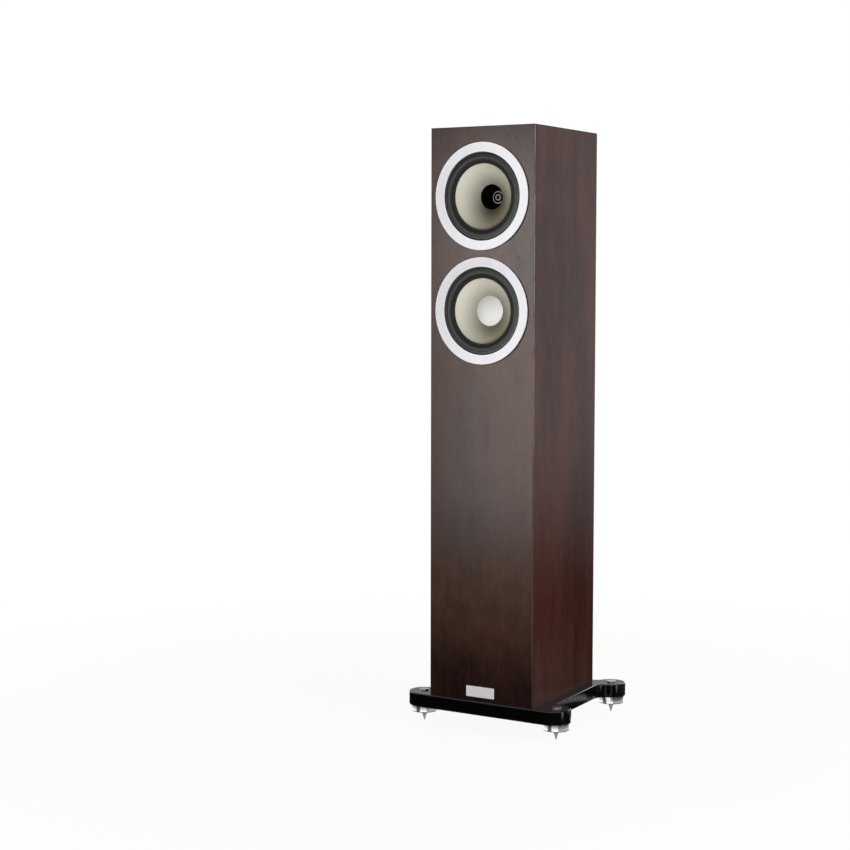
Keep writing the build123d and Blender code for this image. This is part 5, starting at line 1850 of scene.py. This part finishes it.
@dataclass
class Studio:
    """The paper that runs into white, the world, the lamps, the cards and the camera."""

    floor_size: float = 60.0
    floor_near: float = 0.35
    floor_far: float = 1.5
    floor_white: float = 0.93
    mirror_near: float = 0.9
    mirror_far: float = 5.2
    mirror_dark: float = 0.02
    mirror_bearing: float = math.radians(62)
    mirror_sector: Span = (0.50, 0.82)
    key_spread: float = math.radians(84)
    across_near: float = 0.60
    across_far: float = 1.8
    bands: tuple[tuple[float, float, float], ...] = (
        (0, 180, 0.14), (-124, 54, 1.2), (-10, 27, 1.6), (66, 60, 0.55), (154, 24, 1.2)
    )
    band_inner: float = 0.071
    band_outer: float = 0.112
    shines: tuple[tuple[str, float, float], ...] = (("front_right", 7.0, -3.0), ("rear_right", 5.0, -17.0))
    shine_inner: float = 0.23
    shine_outer: float = 0.36
    shine_half: float = math.radians(1.0)
    shine_blur: float = 0.30
    shine_side_blur: float = math.radians(9.0)
    tip_reach: float = 0.024
    tip_tone: float = 0.35
    floor_colour: Colour = (0.82, 0.82, 0.82)
    ambient: float = 0.12
    camera_place: Point = (1.58889, -2.72256, 0.72961)
    camera_turn: float = 0.57985
    camera_dip: float = 0.07889
    camera_roll: float = -0.00153
    lens: float = 82.256
    card_dark: Colour = (0.02, 0.02, 0.02)

    def build(self) -> None:
        """Set up the world, the floor, the lamps and the camera."""
        self.build_world()
        self.build_floor()
        for item in (*self.lamps(), *self.cards()):
            item.build()
        self.build_camera()
        bpy.context.scene.view_settings.view_transform = "Standard"

    def lamps(self) -> Iterable[Softbox]:
        """A key below the drive units, a flank light, the badge's own, two sheens and three soft fills.

        Returns:
            The lamps, to be built in this order.
        """
        return (
            Softbox("key_near", (0.40, -0.68, 0.22), (0.0, -0.13, 0.99), 0.25, 0.30, 1.50,
                    KEY_TINT, Reach.NO_GLOSS, self.key_spread),
            Softbox("flank_right", (2.2, -0.45, 0.9), (0.0, 0.0, 0.5), 1.2, 1.6, 53.0,
                    COOL_TINT, Reach.NO_GLOSS),
            Softbox("badge_light", (0.25, -0.90, 0.40), (0.0, -0.13, 0.08), 0.2, 0.2, 2.1, reach=Reach.BADGE),
            Softbox("front_sheen", (-0.385, -1.25, 0.58), (0.0, -0.13, 0.58), 0.7, 0.86, 28.5,
                    SHEEN_TINT, Reach.BAFFLE_SHEEN),
            Softbox("upper_sheen", (-0.40, -1.24, 0.86), (0.0, -0.13, 0.86), 0.7, 0.50, 6.0,
                    SHEEN_TINT, Reach.BAFFLE_SHEEN),
            Softbox("top_soft", (0.1, 0.2, 2.6), (0.0, 0.0, 0.5), 1.6, 1.6, 9.0, WARM_TINT),
            Softbox("back_fill", (-0.9, 2.8, 1.3), (0.0, 0.0, 0.5), 1.4, 1.4, 36.0),
            Softbox("left_fill", (-2.4, 0.4, 1.0), (0.0, 0.0, 0.5), 1.4, 1.6, 13.0, WARM_TINT),
        )

    def cards(self) -> Iterable[Card]:
        """Two pale cards, left of the front and behind, and two dark ones, high and low past the right side.

        Returns:
            The cards, one by one.
        """
        for name, left, right, y, low, high, tone in (
            ("card_front", -0.62, -0.20, -1.5, 0.2, 1.4, (0.45, 0.45, 0.45)),
            ("card_behind", -2.6, -0.8, 2.2, 0.2, 2.4, (0.55, 0.51, 0.51)),
        ):
            yield Card(name, ((left, y, low), (right, y, low), (right, y, high), (left, y, high)), tone)
        high = ((4.3, 2.2, 1.4), (-2.6, 4.7, 1.4), (-2.6, 4.7, 7.0), (4.3, 2.2, 7.0))
        yield Card("card_side", high, self.card_dark)
        low = ((0.86, 0.27, 0.0), (-0.02, 0.77, 0.0), (-0.02, 0.77, 0.17), (0.86, 0.27, 0.17))
        yield Card("card_low", low, self.card_dark)

    def glows(self) -> Iterable[Glow]:
        """What mirrors see of the paper: bands and a disc at each foot, two shines and a patch.

        Returns:
            The patches, one by one.
        """
        for foot in FEET:
            place = middle(f"{foot}_lock_ring")
            facing = math.atan2(self.camera_place[1] - place[1], self.camera_place[0] - place[0])
            yield Glow(place, self.tip_reach, self.tip_tone)
            for bearing, half, tone in self.bands:
                bearing, half = facing + math.radians(bearing), math.radians(half)
                yield Glow(place, self.band_outer, tone, self.band_inner, bearing, half)
        for foot, tone, bearing in self.shines:
            place = middle(f"{foot}_lock_ring")
            yield Glow(place, self.shine_outer, tone, self.shine_inner, math.radians(bearing),
                       self.shine_half, self.shine_blur, self.shine_side_blur)
        yield Glow((0.42, 0.36, 0.0), 0.20, 0.3, blur=0.8)

    def build_world(self) -> None:
        """White where it is seen, straight or in a reflection, and a soft grey as light."""
        world = bpy.data.worlds.new("studio")
        graph = emptied(world)
        seen = self.seen(graph)
        strength = graph.times(seen, 1.0 - self.ambient, self.ambient)
        tint = graph.mix(seen, AMBIENT_TINT, (1.0, 1.0, 1.0))
        light = graph.add("Background", {"Color": tint, "Strength": strength})
        graph.add("OutputWorld", {"Surface": light.outputs[0]})
        bpy.context.scene.world = world

    def seen(self, graph: Graph) -> Socket:
        """1 for a ray from the camera or one that a gloss or a glass has turned.

        Args:
            graph: The world's tree.

        Returns:
            1 or 0 for each ray.
        """
        path = graph.add("LightPath").outputs
        either = graph.math("MAXIMUM", path["Is Camera Ray"], path["Is Glossy Ray"])
        return graph.math("MAXIMUM", either, path["Is Transmission Ray"])

    def build_floor(self) -> None:
        """A plane that keeps the shadow near the object and runs into white further out."""
        half = self.floor_size / 2
        corners = [(-half, -half, 0), (half, -half, 0), (half, half, 0), (-half, half, 0)]
        material = bpy.data.materials.new("studio_paper")
        graph = emptied(material)
        distance = graph.number("LENGTH", graph.where())
        straight = graph.window(distance, self.floor_near, self.floor_far, self.floor_white, 1.0)
        turned = self.mirrored(graph, distance)
        for glow in self.glows():
            turned = graph.math("MAXIMUM", turned, glow.on(graph, graph.where()))
        path = graph.add("LightPath").outputs
        mirrored = graph.math("MAXIMUM", path["Is Glossy Ray"], path["Is Transmission Ray"])
        share = graph.math("MAXIMUM", graph.times(path["Is Camera Ray"], straight), mirrored)
        paper = graph.add("BsdfDiffuse", {"Color": opaque(self.floor_colour)}).outputs[0]
        lacking = graph.math("SUBTRACT", 1.0, turned)
        strength = graph.times(path["Is Camera Ray"], lacking, turned)
        white = graph.add("Emission", {"Color": (1.0, 1.0, 1.0, 1.0), "Strength": strength}).outputs[0]
        shader = graph.add("MixShader", {0: share, 1: paper, 2: white}).outputs[0]
        graph.add("OutputMaterial", {"Surface": shader})
        stand("studio_floor", corners, material)

    def mirrored(self, graph: Graph, distance: Socket) -> Socket:
        """The paper's tone in a mirror: dark by the object, and far out along the lines its faces mirror.

        Args:
            graph: The paper's tree.
            distance: How far a point of the paper is from the origin.

        Returns:
            The tone, which runs to 1 further out.
        """
        line = (math.cos(self.mirror_bearing), math.sin(self.mirror_bearing), 0.0)
        heading = graph.vector("NORMALIZE", graph.where())
        cosine = graph.math("ABSOLUTE", graph.number("DOT_PRODUCT", heading, line))
        share = graph.window(cosine, *self.mirror_sector)
        along = graph.window(distance, self.mirror_near, self.mirror_far, self.mirror_dark, 1.0)
        across = graph.window(distance, self.across_near, self.across_far, self.mirror_dark, 1.0)
        return graph.times(share, graph.math("SUBTRACT", along, across), across)

    def build_camera(self) -> None:
        """The camera, nearly level across and dipped a little."""
        data = bpy.data.cameras.new("camera")
        data.lens = self.lens
        camera = bpy.data.objects.new("camera", data)
        camera.location = self.camera_place
        camera.rotation_euler = (math.pi / 2 - self.camera_dip, self.camera_roll, self.camera_turn)
        bpy.context.scene.collection.objects.link(camera)
        bpy.context.scene.camera = camera


def main() -> None:
    """Build every sub-assembly in order."""
    logging.basicConfig(level=logging.INFO, format="%(name)s: %(message)s")
    Cabinet().build()
    for level in LEVELS:
        DriveUnit(level).build()
    Coaxial().build()
    Plinth().build()
    RearFittings().build()
    Screws().build()
    Inside().build()
    Studio().build()


if __name__ == "__main__":
    main()
